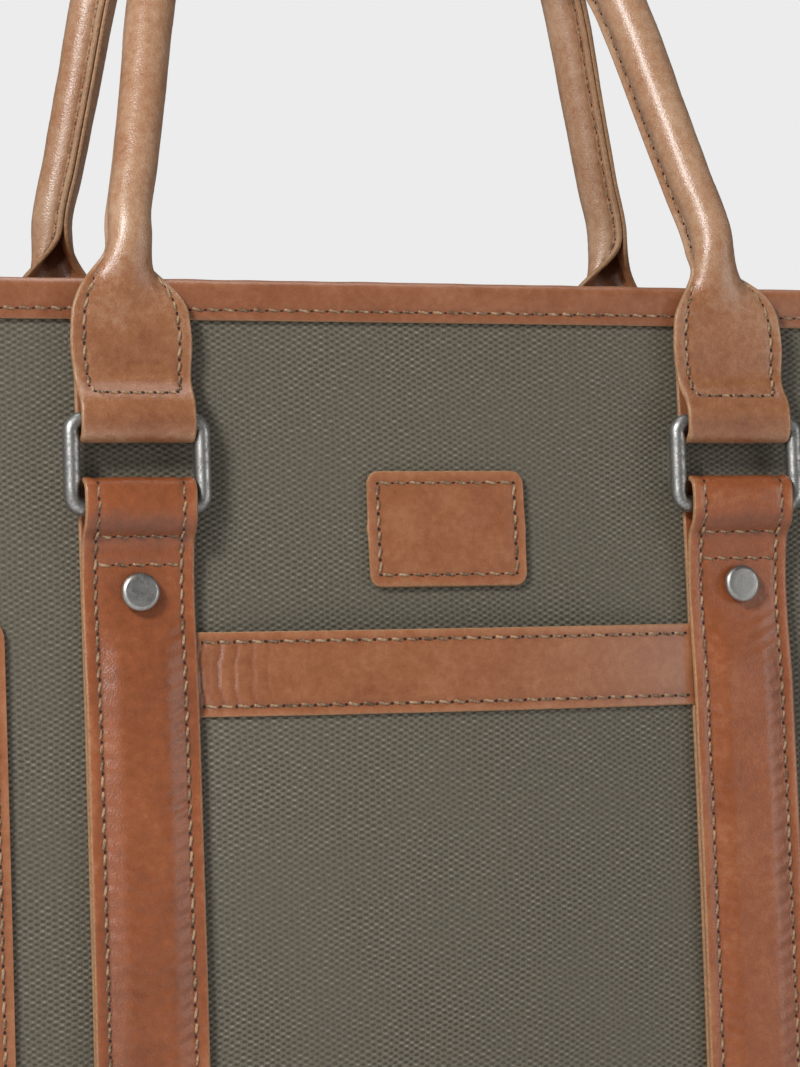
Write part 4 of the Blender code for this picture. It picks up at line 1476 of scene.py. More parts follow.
@dataclass
class EndPanels:
    """Leather round both ends of the bag, with rounded top corners and a seam inside its edge."""

    finishes: Finishes
    first: float = 135 * MM
    top: float = 201 * MM
    corner: float = 7 * MM
    inset: float = 3.0 * MM
    pitch: float = 4.7 * MM
    step: float = 2.4 * MM
    seam_low: float = 4 * MM
    groove: float = 0.22 * MM
    swell: float = 0.18 * MM

    def build(self) -> None:
        """Makes both."""
        for side in Side:
            self.panel(side)

    def panel(self, side: Side) -> None:
        """One end's leather.

        Args:
            side: which end.
        """
        u, face = SHAPE.round_end(self.first, self.step)
        extra = self.first + self.corner * (1 - np.cos(spread(0, math.pi / 2, 8)))[:-1]
        keep = u > extra[-1] + 0.4 * MM
        u = np.concatenate([extra, u[keep], extra[::-1]])
        face = np.concatenate([np.ones(len(extra)), face[keep], -np.ones(len(extra))])
        out = SHAPE.gap + SHAPE.leather / 2
        across = run_along(SHAPE.turned(u, face, self.top * 0.6, out))
        length = float(across[-1])
        low, high = SHAPE.floor, self.top - trimmed(across, length, self.corner)
        share = spread(0, 1, 82)
        z = low + share[:, None] * (high - low)[None, :]
        middle = SHAPE.turned(u[None, :], face[None, :], z, out)
        along = share * (self.top - low)
        edge = np.minimum(np.minimum(across, length - across)[None, :], high[None, :] - z)
        groove = -self.groove * bell(edge - self.inset, 1 * MM)
        swell = self.swell * ripple(across[None, :], z, 50 * MM, side.value + 3.3) * smooth(edge / (10 * MM))
        tone = 0.5 * bell(edge, 1.6 * MM) - 0.3 * bell(edge - self.inset, 1 * MM)
        skin = Skin()
        sheet = Sheet(middle, across, along, SHAPE.leather, groove + swell, tone, hand=side.value)
        outer = sheet.add_to(skin)
        r = self.corner - self.inset
        tall = self.top - low
        path = [(self.inset, self.seam_low), (self.inset, tall - self.corner)]
        path += arc((self.corner, tall - self.corner), r, 180, 90)[1:]
        path += arc((length - self.corner, tall - self.corner), r, 90, 0)
        path.append((length - self.inset, self.seam_low))
        holes = along_line(path, self.pitch)
        reach = np.interp(holes[:, 0], across, high - low)
        points, normals = outer.at(holes[:, 0], holes[:, 1] / reach * tall)
        SEAM.sew(skin, points, normals)
        obj = skin.build(f"end_leather_{side.word}", *self.finishes.leather)
        fit(obj, "bag", Slot.LEATHER, f"end_panel_{side.word}")


@dataclass
class FrontPocket:
    """The slip pocket between the straps, with a leather band round its mouth."""

    finishes: Finishes
    half_width: float = 79 * MM
    bulge_half_width: float = 75.5 * MM
    top: float = 195 * MM
    bulge: float = 6.0 * MM
    cloth: float = 1.0 * MM
    band: float = 24 * MM
    inset: float = 2.6 * MM
    slump: float = 0.7 * MM
    groove: float = 0.20 * MM
    crease: float = 0.60 * MM
    crease_turn: float = 1300.0
    crease_reach: float = 22 * MM
    swell: float = 0.12 * MM

    def out(self, u: Array, z: Array, base: float) -> Array:
        """How far the pocket stands off the face."""
        across = np.maximum(0.0, 1 - (u / self.bulge_half_width) ** 2)
        return base + self.bulge * across**0.8 * smooth(np.minimum(1.0, z / self.top))

    def build(self) -> None:
        """Makes the pocket and its band."""
        self.panel()
        self.mouth()

    def panel(self) -> None:
        """The canvas of the pocket."""
        u = spread(-self.half_width, self.half_width, 66)
        z = spread(SHAPE.floor, self.top - SHAPE.gap, 80)
        out = self.out(u[None, :], z[:, None], SHAPE.gap + self.cloth / 2)
        middle, _ = SHAPE.at(u[None, :], z[:, None], out)
        swell = ripple(u[None, :] * 1.6, z[:, None] * 0.7, 60 * MM, 5.2)
        inward = smooth((self.half_width - np.abs(u)) / (20 * MM))[None, :]
        relief = -self.slump * inward * (0.5 + 0.5 * swell) * smooth(1.2 - z[:, None] / self.top)
        skin = Skin()
        Sheet(middle, u, z, self.cloth, relief).add_to(skin)
        obj = fit(skin.build("pocket_canvas", self.finishes.canvas), "bag", Slot.CANVAS, "pocket_panel")

    def mouth(self) -> None:
        """The leather band, sewn along both of its edges."""
        u = spread(-self.half_width, self.half_width, 200)
        z = spread(self.top - self.band, self.top, 22)
        out = self.out(u[None, :], z[:, None], 2 * SHAPE.gap + 1.5 * self.cloth)
        middle, _ = SHAPE.at(u[None, :], z[:, None], out)
        rise = z - z[0]
        edge = np.minimum(rise, self.band - rise)[:, None]
        near_left = bell(u[None, :] + self.half_width, self.crease_reach)
        bowed = u[None, :] * self.crease_turn + 1.6 * np.sin(rise[:, None] * 130)
        bowed = bowed + 1.2 * ripple(u[None, :], rise[:, None], 12 * MM, 0.8)
        crease = -self.crease * near_left * np.maximum(0, np.sin(bowed)) ** 4 * smooth(edge / (4 * MM))
        relief = -self.groove * bell(edge - self.inset, 1 * MM) + crease
        relief = relief + self.swell * ripple(u[None, :], z[:, None], 30 * MM, 2.6) * smooth(edge / (6 * MM))
        # crease * 900 darkens the creases in colour too: painted shade in the creases.
        tone = 0.55 * bell(edge, 1.3 * MM) - 0.35 * bell(edge - self.inset, 1 * MM) + crease * 900
        skin = Skin()
        outer = Sheet(middle, u, z, self.cloth, relief, tone).add_to(skin)
        holes = spread(-self.half_width + 2 * MM, self.half_width - 2 * MM, 34)
        for height in (z[0] + self.inset, z[-1] - self.inset):
            SEAM.sew(skin, *outer.at(holes, np.full(len(holes), height)))
        fit(skin.build("pocket_mouth_leather", *self.finishes.leather), "bag", Slot.LEATHER, "pocket_band")


@dataclass
class Patch:
    """The blank leather patch sewn to the middle of the front."""

    finishes: Finishes
    centre: float = 0.9 * MM
    half_width: float = 24.8 * MM
    top: float = 242 * MM
    tall: float = 33.6 * MM
    corner: float = 3.5 * MM
    inset: float = 3.0 * MM
    groove: float = 0.22 * MM
    swell: float = 0.16 * MM
    stitches: tuple[int, int] = (9, 6)

    def build(self) -> None:
        """Makes the patch."""
        length = 2 * self.half_width
        across = cornered(length, self.corner, 1.2 * MM)
        cut = trimmed(across, length, self.corner)
        share = spread(0, 1, 34)
        z = self.top - self.tall + cut[None, :] + share[:, None] * (self.tall - 2 * cut)[None, :]
        u = across - self.half_width + self.centre
        middle, _ = SHAPE.at(u[None, :], z, SHAPE.gap + SHAPE.leather / 2)
        height = z - (self.top - self.tall)
        sideways = np.minimum(across, length - across)[None, :]
        edge = np.minimum(sideways, np.minimum(height, self.tall - height))
        relief = -self.groove * bell(edge - self.inset, 0.9 * MM)
        relief = relief + self.swell * ripple(u[None, :], z, 20 * MM, 1.1) * smooth(edge / (6 * MM))
        tone = 0.5 * bell(edge, 1.2 * MM) - 0.3 * bell(edge - self.inset, 0.9 * MM)
        skin = Skin()
        outer = Sheet(middle, across, share * self.tall, SHAPE.leather, relief, tone).add_to(skin)
        low, right, high = self.inset, length - self.inset, self.tall - self.inset
        corners = [(low, high), (right, high), (right, low), (low, low), (low, high)]
        lines = [
            np.linspace(start, end, self.stitches[number % 2] + 1)[:-1]
            for number, (start, end) in enumerate(zip(corners, corners[1:]))
        ]
        holes = np.concatenate(lines)
        trim = np.interp(holes[:, 0], across, cut)
        along = (holes[:, 1] - trim) / (self.tall - 2 * trim) * self.tall
        SEAM.sew(skin, *outer.at(holes[:, 0], along), closed=True)
        fit(skin.build("patch_leather", *self.finishes.leather), "bag", Slot.LEATHER, "label_patch")


def tube_along(
    skin: Skin, path: Array, normals: Array, radius: Any, around: int, closed: bool, lobes: float = 0.0
) -> None:
    """Adds a round or lobed tube along a line.

    Args:
        skin: the mesh in the making.
        path: the line's points.
        normals: a direction square to the line at each point.
        radius: the radius, one number or one for each point.
        around: how many points round it.
        closed: the line's last point meets its first.
        lobes: how much the strands of a rope stand out, with three strands that twist.
    """
    if closed:
        rows = np.concatenate([path[-1:], path, path[:1]])
        heading = unit(rows[2:] - rows[:-2])
    else:
        heading = unit(np.gradient(path, axis=0))
    other = unit(np.cross(heading, normals))
    first = np.cross(other, heading)
    angle = np.arange(around) * 2 * math.pi / around
    turn = np.arange(len(path))[:, None] * 0.35
    width = np.broadcast_to(radius, len(path))[:, None] * (
        1 - lobes + lobes * np.abs(np.cos(1.5 * (angle[None, :] - turn)))
    )
    loops = (
        path[:, None]
        + first[:, None] * (np.cos(angle) * width)[..., None]
        + other[:, None] * (np.sin(angle) * width)[..., None]
    )
    loft(skin, loops, closed)


@dataclass
class CarrySet:
    """One face's two straps, rings and rivets, with the handle between them.

    lift is how much higher the rings sit than on the front, slack how far the tabs drop on their bars, lean
    how far the legs lean in, leg_x how far out they stand, and roll how far their seam has turned.
    """

    finishes: Finishes
    facing: Facing
    lift: float
    slack: float
    lean: float
    leg_x: float
    roll: float
    strap_half_width: float = 16 * MM
    strap_out: float = 3.9 * MM
    strap_back_out: float = 1.4 * MM
    strap_thickness: float = 1.8 * MM
    strap_turn: float = 217 * MM
    strap_slack: float = 4.0 * MM
    seam_x: float = 12.8 * MM
    pitch: float = 4.5 * MM
    cross_lines: tuple[float, float] = (224.0 * MM, 215.4 * MM)
    wire: float = 2.6 * MM
    clearance: float = 0.4 * MM
    ring_half_width: float = 19.6 * MM
    ring_corner: float = 3.4 * MM
    low_bar: tuple[float, float] = (232.2 * MM, 6.2 * MM)
    high_bar: tuple[float, float] = (257.4 * MM, 7.2 * MM)
    rivet_z: float = 207 * MM
    rivet_radius: float = 5.65 * MM
    rivet_height: float = 2.2 * MM
    tab_half_width: float = 16.5 * MM
    tab_widest: float = 17.7 * MM
    tab_out: float = 5.25 * MM
    tab_back_out: float = 3.15 * MM
    tab_back_top: float = 287 * MM
    tab_lean: float = math.radians(5.7)
    tab_slack: float = 1.9 * MM
    neck_start: float = 290 * MM
    neck_length: float = 28 * MM
    leg_slope: float = math.radians(11)
    leg_length: float = 78 * MM
    tube_low: float = 5.7 * MM
    tube_high: float = 6.6 * MM
    fin: float = 4.5 * MM
    neck_fin: float = 1.0 * MM
    seam_half_gap: float = 0.84 * MM
    rope_radius: float = 4.0 * MM
    flat_half_width: float = 22 * MM
    tube_share: float = 5 / 6
    tab_seam: float = 0.815
    fin_seam: float = 0.095
    tab_seam_rise: float = 16.5 * MM
    strap_puff: float = 1.7 * MM
    strap_groove: float = 0.28 * MM
    cross_groove: float = 0.22 * MM
    pucker: float = 0.62 * MM

    def build(self) -> None:
        """Makes the set."""
        for side in Side:
            self.strap(side)
            self.ring(side)
            self.rivet(side)
        self.handle()

    def name(self, side: Side) -> str:
        """The ending of the name of a piece on this face, at this end."""
        return f"{self.facing.word}_{side.word}"

    def bar(self, place: tuple[float, float]) -> tuple[float, float]:
        """Y and Z of a ring's bar, on the front."""
        z = place[0] + self.lift
        return float(SHAPE.face_y(SHAPE.strap_x, z)) - place[1], z

    def strap(self, side: Side) -> None:
        """A doubled strap: up the face, over the ring's lower bar and back down behind itself.

        Args:
            side: left or right.
        """
        x0 = SHAPE.strap_x

        def face(z: float, out: float) -> tuple[float, float, float, float]:
            """A point on the face, a little outside it."""
            return (0.0, float(SHAPE.face_y(x0, z)) - out, z, 1.0)

        bar_y, bar_z = self.bar(self.low_bar)
        reach = self.wire + self.clearance + self.strap_thickness / 2
        rows = [face(z, self.strap_out) for z in spread(SHAPE.floor, self.strap_turn, 6)]
        rows.append((*face(0.2225, self.strap_out + 1.2 * MM)[:3], 0.7))
        rows.append((*face(0.2275, self.low_bar[1] + reach - 1.0 * MM)[:3], 0.2))
        top = bar_z + self.strap_slack - self.lift
        for angle in spread(math.pi, 0.0, 9):
            rows.append((0.0, bar_y + reach * math.cos(angle), top + reach * math.sin(angle), 0.0))
        rows += [face(z, self.strap_back_out) for z in [0.224, *spread(self.strap_turn, SHAPE.floor, 8)]]
        line, along = flow(np.array(rows), 0.8 * MM)
        share = spread(-1, 1, 43)
        x = side.value * x0 + share * self.strap_half_width
        belly = SHAPE.face_y(x[None, :], line[:, 2:3]) - SHAPE.face_y(x0, line[:, 2:3])
        y = line[:, 1:2] + line[:, 3:4] * belly
        middle = grid(x[None, :], y, line[:, 2:3])
        z = line[:, 2:3]
        front = (np.arange(len(line)) < int(np.argmax(line[:, 2])) + 3)[:, None]
        across = np.abs(share)[None, :]
        padding = self.strap_puff * smooth((0.206 - z) / 0.026) * smooth((0.84 - across) / 0.48)
        inward = (self.seam_x / self.strap_half_width - across) * self.strap_half_width
        slant = z - 7 * MM + 0.45 * inward + 0.0006 * ripple(across, z, 0.007, side.value * 1.3)
        pull = 0.5 + 0.5 * np.cos(slant * 2 * math.pi / self.pitch)
        fade = smooth(inward / 0.0008) * np.exp(-np.maximum(inward, 0) / 0.0055) * smooth((0.206 - z) / 0.012)
        pucker = self.pucker * pull * fade * (0.62 + 0.6 * ripple(x[None, :] * 0.2, z, 0.013, 1.9))
        from_seam = (across - self.seam_x / self.strap_half_width) * self.strap_half_width
        groove = self.strap_groove * bell(from_seam, 1 * MM)
        for height in self.cross_lines:
            groove = groove + self.cross_groove * bell(z - height, 1 * MM) * (across < 0.84)
        creases = 0.00012 * ripple(x[None, :] * 0.5, z, 0.008, side.value + 4.0) * smooth((z - 0.224) / 0.004)
        swell = 0.00014 * ripple(x[None, :], z, 0.03, side.value * 2.1 + self.facing.value)
        relief = front * (padding + swell + creases - pucker - groove)
        tone = front * (0.45 * bell(1 - across, 0.09) - 0.45 * bell(across - 0.80, 0.05))
        tone = tone - (0.35 if side is Side.LEFT else 0.05)
        # Painted shade where the strap turns out into its loop, and a painted highlight across the loop just
        # above it.
        tone = tone - 0.55 * front * bell(z - 0.2275, 0.0022) + 0.30 * front * bell(z - 0.2335, 0.0035)
        skin = Skin()
        sheet = Sheet(middle, x - x[0], along, self.strap_thickness, relief, tone, facing=self.facing.value)
        outer = sheet.add_to(skin)
        self._sew_strap(skin, outer, line, along)
        name = self.name(side)
        fit(skin.build(f"strap_leather_{name}", *self.finishes.strap), "bag", Slot.LEATHER, f"strap_{name}")

    def _sew_strap(self, skin: Skin, outer: Face, line: Array, along: Array) -> None:
        """Stitches up both sides of a strap and twice across it under the ring.

        Args:
            skin: the mesh in the making.
            outer: the strap's outer side.
            line: the strap's path.
            along: distances along it.
        """
        rising = int(np.argmax(line[:, 2]))
        width = 2 * self.strap_half_width
        first = 7 * MM
        start = float(np.interp(first, line[:rising, 2], along[:rising]))
        places = np.arange(start, along[rising] + 1 * MM, self.pitch)
        for sign in (-1, 1):
            offset = self.strap_half_width + sign * self.seam_x
            SEAM.sew(skin, *outer.at(np.full(len(places), offset), places))
        for height in self.cross_lines:
            where = float(np.interp(height, line[:rising, 2], along[:rising]))
            inset = self.strap_half_width - self.seam_x
            holes = spread(inset, width - inset, 6)
            SEAM.sew(skin, *outer.at(holes, np.full(len(holes), where)))

    def ring(self, side: Side) -> None:
        """A cast rectangular ring with softened corners.

        Args:
            side: left or right.
        """
        low, high = self.bar(self.low_bar), self.bar(self.high_bar)
        rise = np.array([high[0] - low[0], high[1] - low[1]])
        tall = float(np.linalg.norm(rise))
        path = filled_in(rounded_box(self.ring_half_width, tall / 2, self.ring_corner, 9), 1.4 * MM)
        up = np.array([0.0, *(rise / tall)])
        centre = np.array([side.value * SHAPE.strap_x, (low[0] + high[0]) / 2, (low[1] + high[1]) / 2])
        points = centre + path[:, :1] * np.array([1.0, 0, 0]) + path[:, 1:] * up
        forward = np.cross(np.array([1.0, 0, 0]), up)
        wobble = 1 + 0.02 * ripple(path[:, 0], path[:, 1], 0.012, side.value + self.facing.value * 0.7)
        mirror = np.array([1.0, self.facing.value, 1.0])
        skin = Skin()
        ahead = np.tile(forward * mirror, (len(points), 1))
        tube_along(skin, points * mirror, ahead, self.wire * wobble, 20, True)
        name = self.name(side)
        obj = skin.build(f"carry_ring_{name}", self.finishes.pewter)
        fit(obj, f"ring_{name}", Slot.METAL, f"ring_{name}")

    def rivet(self, side: Side) -> None:
        """A flat-headed rivet with a bevelled rim, and its cap inside the bag.

        Args:
            side: left or right.
        """
        x = side.value * SHAPE.strap_x
        z = self.rivet_z
        e = 1 * MM
        place = SHAPE.at
        step_x = (place(x + e, z)[0] - place(x - e, z)[0]) / (2 * e)
        step_z = (place(x, z + e)[0] - place(x, z - e)[0]) / (2 * e)
        normal = unit(np.cross(step_x, step_z))
        seat = place(x, z)[0] + normal * (self.strap_out + self.strap_thickness / 2 + SHAPE.gap)
        length = self.strap_out + self.strap_thickness / 2 + 2 * SHAPE.gap + SHAPE.lining_depth + SHAPE.lining
        r, h = self.rivet_radius, self.rivet_height
        profile = [
            (0.12 * r, h - 0.02 * MM),
            (0.5 * r, h),
            (r - 1.25 * MM, h),
            (r - 1.05 * MM, h - 0.03 * MM),
            (r - 0.45 * MM, h - 0.38 * MM),
            (r - 0.15 * MM, h - 0.66 * MM),
            (r, h - 1.0 * MM),
            (r, 0.1 * MM),
            (r - 0.15 * MM, 0.0),
            (2.0 * MM, 0.0),
            (2.0 * MM, -length),
            (0.4 * MM, -length),
        ]
        side_way = unit(np.cross(normal, np.array([0.0, 0, 1.0])))
        other = np.cross(normal, side_way)
        angle = np.arange(48) * math.pi / 24
        spokes = side_way * np.cos(angle)[:, None] + other * np.sin(angle)[:, None]
        loops = np.stack([seat + spokes * radius + normal * height for radius, height in profile])
        skin = Skin()
        loft(skin, loops * np.array([1.0, self.facing.value, 1.0]))
        name = self.name(side)
        fit(skin.build(f"flat_rivet_{name}", self.finishes.nickel), "bag", Slot.METAL, f"rivet_{name}")
        dress(f"rivet_cap_{name}", self.finishes.nickel)

    def half_path(self) -> Array:
        """Half of the handle's path.

        Returns:
            Rows of centre, forward direction, half width, roundness, radius and fin, from behind the tab to
            the middle of the arch.
        """
        bar_y, bar_z = self.bar(self.high_bar)
        reach = self.wire + self.clearance + SHAPE.leather / 2
        rise = self.lift + self.tab_slack - self.slack
        x = SHAPE.strap_x
        rows: list[tuple[float, ...]] = []

        def strip(px: float, y: float, z: float, heading: float, half: float, roundness: float = 0.0) -> None:
            """Adds one station of the path.

            Args:
                px: its X.
                y: its Y.
                z: its Z.
                heading: the slope of the leather's outer side.
                half: half of its width.
                roundness: 0 where it is flat and 1 where it is a tube.
            """
            fin = self.neck_fin + (self.fin - self.neck_fin) * smooth(roundness * 2 - 1)
            forward = (0.0, -math.cos(heading), math.sin(heading))
            rows.append((px, y, z, *forward, half, roundness, self.tube_low, fin))

        for z in (self.tab_back_top, 0.274):
            y = float(SHAPE.face_y(x, z)) - self.tab_back_out
            strip(x, y, z + rise, math.pi + self.tab_lean, self.tab_half_width)
        for angle in spread(0, math.pi, 9):
            y, z = bar_y + reach * math.cos(angle), bar_z - self.slack - reach * math.sin(angle)
            strip(x, y, z, math.pi + angle, self.tab_half_width)
        strip(x, bar_y - reach + 0.8 * MM, bar_z + 4.5 * MM, 0.25, self.tab_half_width)
        for z, half in ((0.270, 16.9 * MM), (0.281, self.tab_widest), (self.neck_start, 17.0 * MM)):
            strip(x, float(SHAPE.face_y(x, z)) - self.tab_out, z + rise, self.tab_lean, half)
        y, z = rows[-1][1], rows[-1][2]
        for step in range(1, 8):
            share = step / 7
            heading = self.tab_lean + (self.lean - self.tab_lean) * share
            y += self.neck_length / 7 * math.sin(heading)
            z += self.neck_length / 7 * math.cos(heading)
            px = x + (self.leg_x - x) * float(smooth(share))
            strip(px, y, z, heading, self.tab_half_width, float(smooth(share)))
        upward = np.array([0.0, math.sin(self.lean), math.cos(self.lean)])
        forward = (0.0, -math.cos(self.lean), math.sin(self.lean))
        leg = np.array([-math.sin(self.leg_slope), 0, 0]) + math.cos(self.leg_slope) * upward
        start = np.array(rows[-1][:3])
        for share in (0.25, 0.6, 1.0):
            radius = self.tube_low + (self.tube_high - self.tube_low) * share
            rows.append((*(start + share * self.leg_length * leg), *forward, 0.0, 1.0, radius, self.fin))
        end = np.array(rows[-1][:3])
        arch = float(end[0]) / math.cos(self.leg_slope)
        base = end - math.sin(self.leg_slope) * arch * upward
        for slope in spread(self.leg_slope, math.pi / 2, 13)[1:]:
            centre = base + math.sin(slope) * arch * upward
            centre[0] = arch * math.cos(slope)
            rows.append((*centre, *forward, 0.0, 1.0, self.tube_high, self.fin))
        return np.array(rows)

    def section(self, share: Array, rows: Array) -> tuple[Array, Array]:
        """The leather's cross-section at each station: a strip that closes into a tube with a fin behind it.

        Args:
            share: places across the leather from -1 to 1.
            rows: stations as half_path gives them.

        Returns:
            Distances across and forwards, stations by places.
        """
        half, roundness, radius, fin = (rows[:, k][:, None] for k in (6, 7, 8, 9))
        seam_angle = np.arcsin(self.seam_half_gap / radius)
        turn = np.abs(share)[None, :] * 6 / 5
        angle = np.minimum(turn, 1) * (math.pi - seam_angle)
        across = np.where(turn <= 1, radius * np.sin(angle), self.seam_half_gap)
        beyond = np.maximum(turn - 1, 0) * 5 * fin
        forward = np.where(turn <= 1, radius * np.cos(angle), -radius * np.cos(seam_angle) - beyond)
        across = np.sign(share)[None, :] * across
        across = share[None, :] * half * (1 - roundness) + across * roundness
        forward = forward * roundness
        twist = self.roll * rows[:, 0:1] / 0.09 * roundness
        return (
            across * np.cos(twist) + forward * np.sin(twist),
            forward * np.cos(twist) - across * np.sin(twist),
        )

    def handle(self) -> None:
        """The handle's leather from tab to tab, and the rope inside it."""
        half = self.half_path()
        other = half[-2::-1].copy()
        other[:, 0] *= -1
        whole, along = flow(np.concatenate([half, other]), 1.5 * MM)
        whole[:, 7] = np.clip(whole[:, 7], 0, 1)
        centre, roundness = whole[:, :3], whole[:, 7]
        heading = unit(np.gradient(centre, axis=0))
        forward = whole[:, 3:6]
        forward = unit(forward - (forward * heading).sum(1)[:, None] * heading)
        across_way = np.cross(heading, forward)
        tube = spread(0, self.tube_share, 25)
        fin = spread(self.tube_share, 1.0, 8)[1:]
        positive = np.concatenate([tube, fin])
        share = np.concatenate([-positive[:0:-1], positive])
        across, ahead = self.section(share, whole)
        middle = centre[:, None] + across[..., None] * across_way[:, None]
        middle = middle + ahead[..., None] * forward[:, None]
        size = np.abs(share)[None, :]
        round_col = roundness[:, None]
        seam_at = self.tab_seam + self.fin_seam * round_col
        sewn = smooth((along - self._u_start(whole, along, 0)) / 0.002) * smooth(
            (self._u_start(whole, along, 1) - along) / 0.002
        )
        groove = 0.24 * MM * bell((size - seam_at) * 18 * MM, 0.0010) * sewn[:, None]
        swell = 0.00013 * ripple(along[:, None], share[None, :] * 0.02, 0.02, self.facing.value + 6.0)
        fine = 0.00006 * ripple(along[:, None] * 2.0, share[None, :] * 0.05, 0.008, 3.0)
        relief = swell + fine - groove
        tone = 0.5 * bell(size - 1, 0.035) - 0.35 * bell(size - seam_at, 0.04) * sewn[:, None]
        # The round tube is made paler all along: a painted highlight.
        tone = tone + 0.18 * ripple(along[:, None], share[None, :] * 0.03, 0.06, 2.0) + 0.75 * round_col
        # Near the foot of each tab: a painted highlight round the fold and a band of painted shade about 7.5
        # mm from it.
        low = np.abs(along[:, None] - self._loop_end(whole, along)[None, :]).min(axis=1)[:, None]
        tone = tone + (1 - round_col) * (0.35 * bell(low - 0.002, 0.003) - 0.4 * bell(low - 0.0075, 0.002))
        skin = Skin()
        flat_x = share * self.flat_half_width
        sheet = Sheet(middle, flat_x, along, SHAPE.leather, relief, tone, facing=self.facing.value)
        outer = sheet.add_to(skin)
        self._sew_handle(skin, outer, whole, along)
        obj = skin.build(f"handle_leather_{self.facing.word}", *self.finishes.handle)
        fit(obj, f"{self.facing.word}_handle", Slot.LEATHER, f"handle_{self.facing.word}")
        self.rope(whole)

    def _loop_end(self, whole: Array, along: Array) -> Array:
        """Distances along the handle at the foot of each tab's front.

        Args:
            whole: the path of the whole handle.
            along: lengths along it.

        Returns:
            The two distances.
        """
        lowest = float(whole[:, 2].min())
        low = along[whole[:, 2] < lowest + 0.4 * MM]
        half = float(along[-1]) / 2
        return np.array([float(low[low < half].mean()), float(low[low > half].mean())])

    def _u_start(self, whole: Array, along: Array, end: int) -> float:
        """Distance along the handle where one tab's stitching turns across it."""
        foot = self._loop_end(whole, along)[end]
        return float(foot) + (self.tab_seam_rise if end == 0 else -self.tab_seam_rise)

    def _sew_handle(self, skin: Skin, outer: Face, whole: Array, along: Array) -> None:
        """Stitches round both tabs and along the fin between them.

        Args:
            skin: the mesh in the making.
            outer: the handle's outer side.
            whole: the handle's stations.
            along: distances along it.
        """
        first, last = self._u_start(whole, along, 0), self._u_start(whole, along, 1)
        count = round((last - first - 6 * MM) / (4.6 * MM))
        places = spread(first + 3 * MM, last - 3 * MM, count + 1)
        seam_at = self.tab_seam + self.fin_seam * np.interp(places, along, whole[:, 7])
        seam_at = seam_at * self.flat_half_width
        for sign in (-1, 1):
            SEAM.sew(skin, *outer.at(sign * seam_at, places))
        edge = self.tab_seam * self.flat_half_width
        for place, inward in ((first, 1), (last, -1)):
            between = spread(-edge * 0.66, edge * 0.66, 6)
            across = np.array([-edge, -edge + 1.6 * MM, *between, edge - 1.6 * MM, edge])
            rise = np.array([3.0, 0.3, 0, 0, 0, 0, 0, 0, 0.3, 3.0]) * MM * inward
            SEAM.sew(skin, *outer.at(across, place + rise))

    def rope(self, whole: Array) -> None:
        """The twisted rope that fills the handle.

        Args:
            whole: the path of the whole handle.
        """
        keep = whole[:, 7] > 0.9
        path = whole[keep, :3] * np.array([1.0, self.facing.value, 1.0])
        normals = whole[keep, 3:6] * np.array([1.0, self.facing.value, 1.0])
        skin = Skin()
        tube_along(skin, path, normals, self.rope_radius, 18, False, 0.14)
        obj = skin.build(f"rope_core_{self.facing.word}", self.finishes.rope)
        fit(obj, f"{self.facing.word}_handle", Slot.ROPE, f"handle_rope_{self.facing.word}")


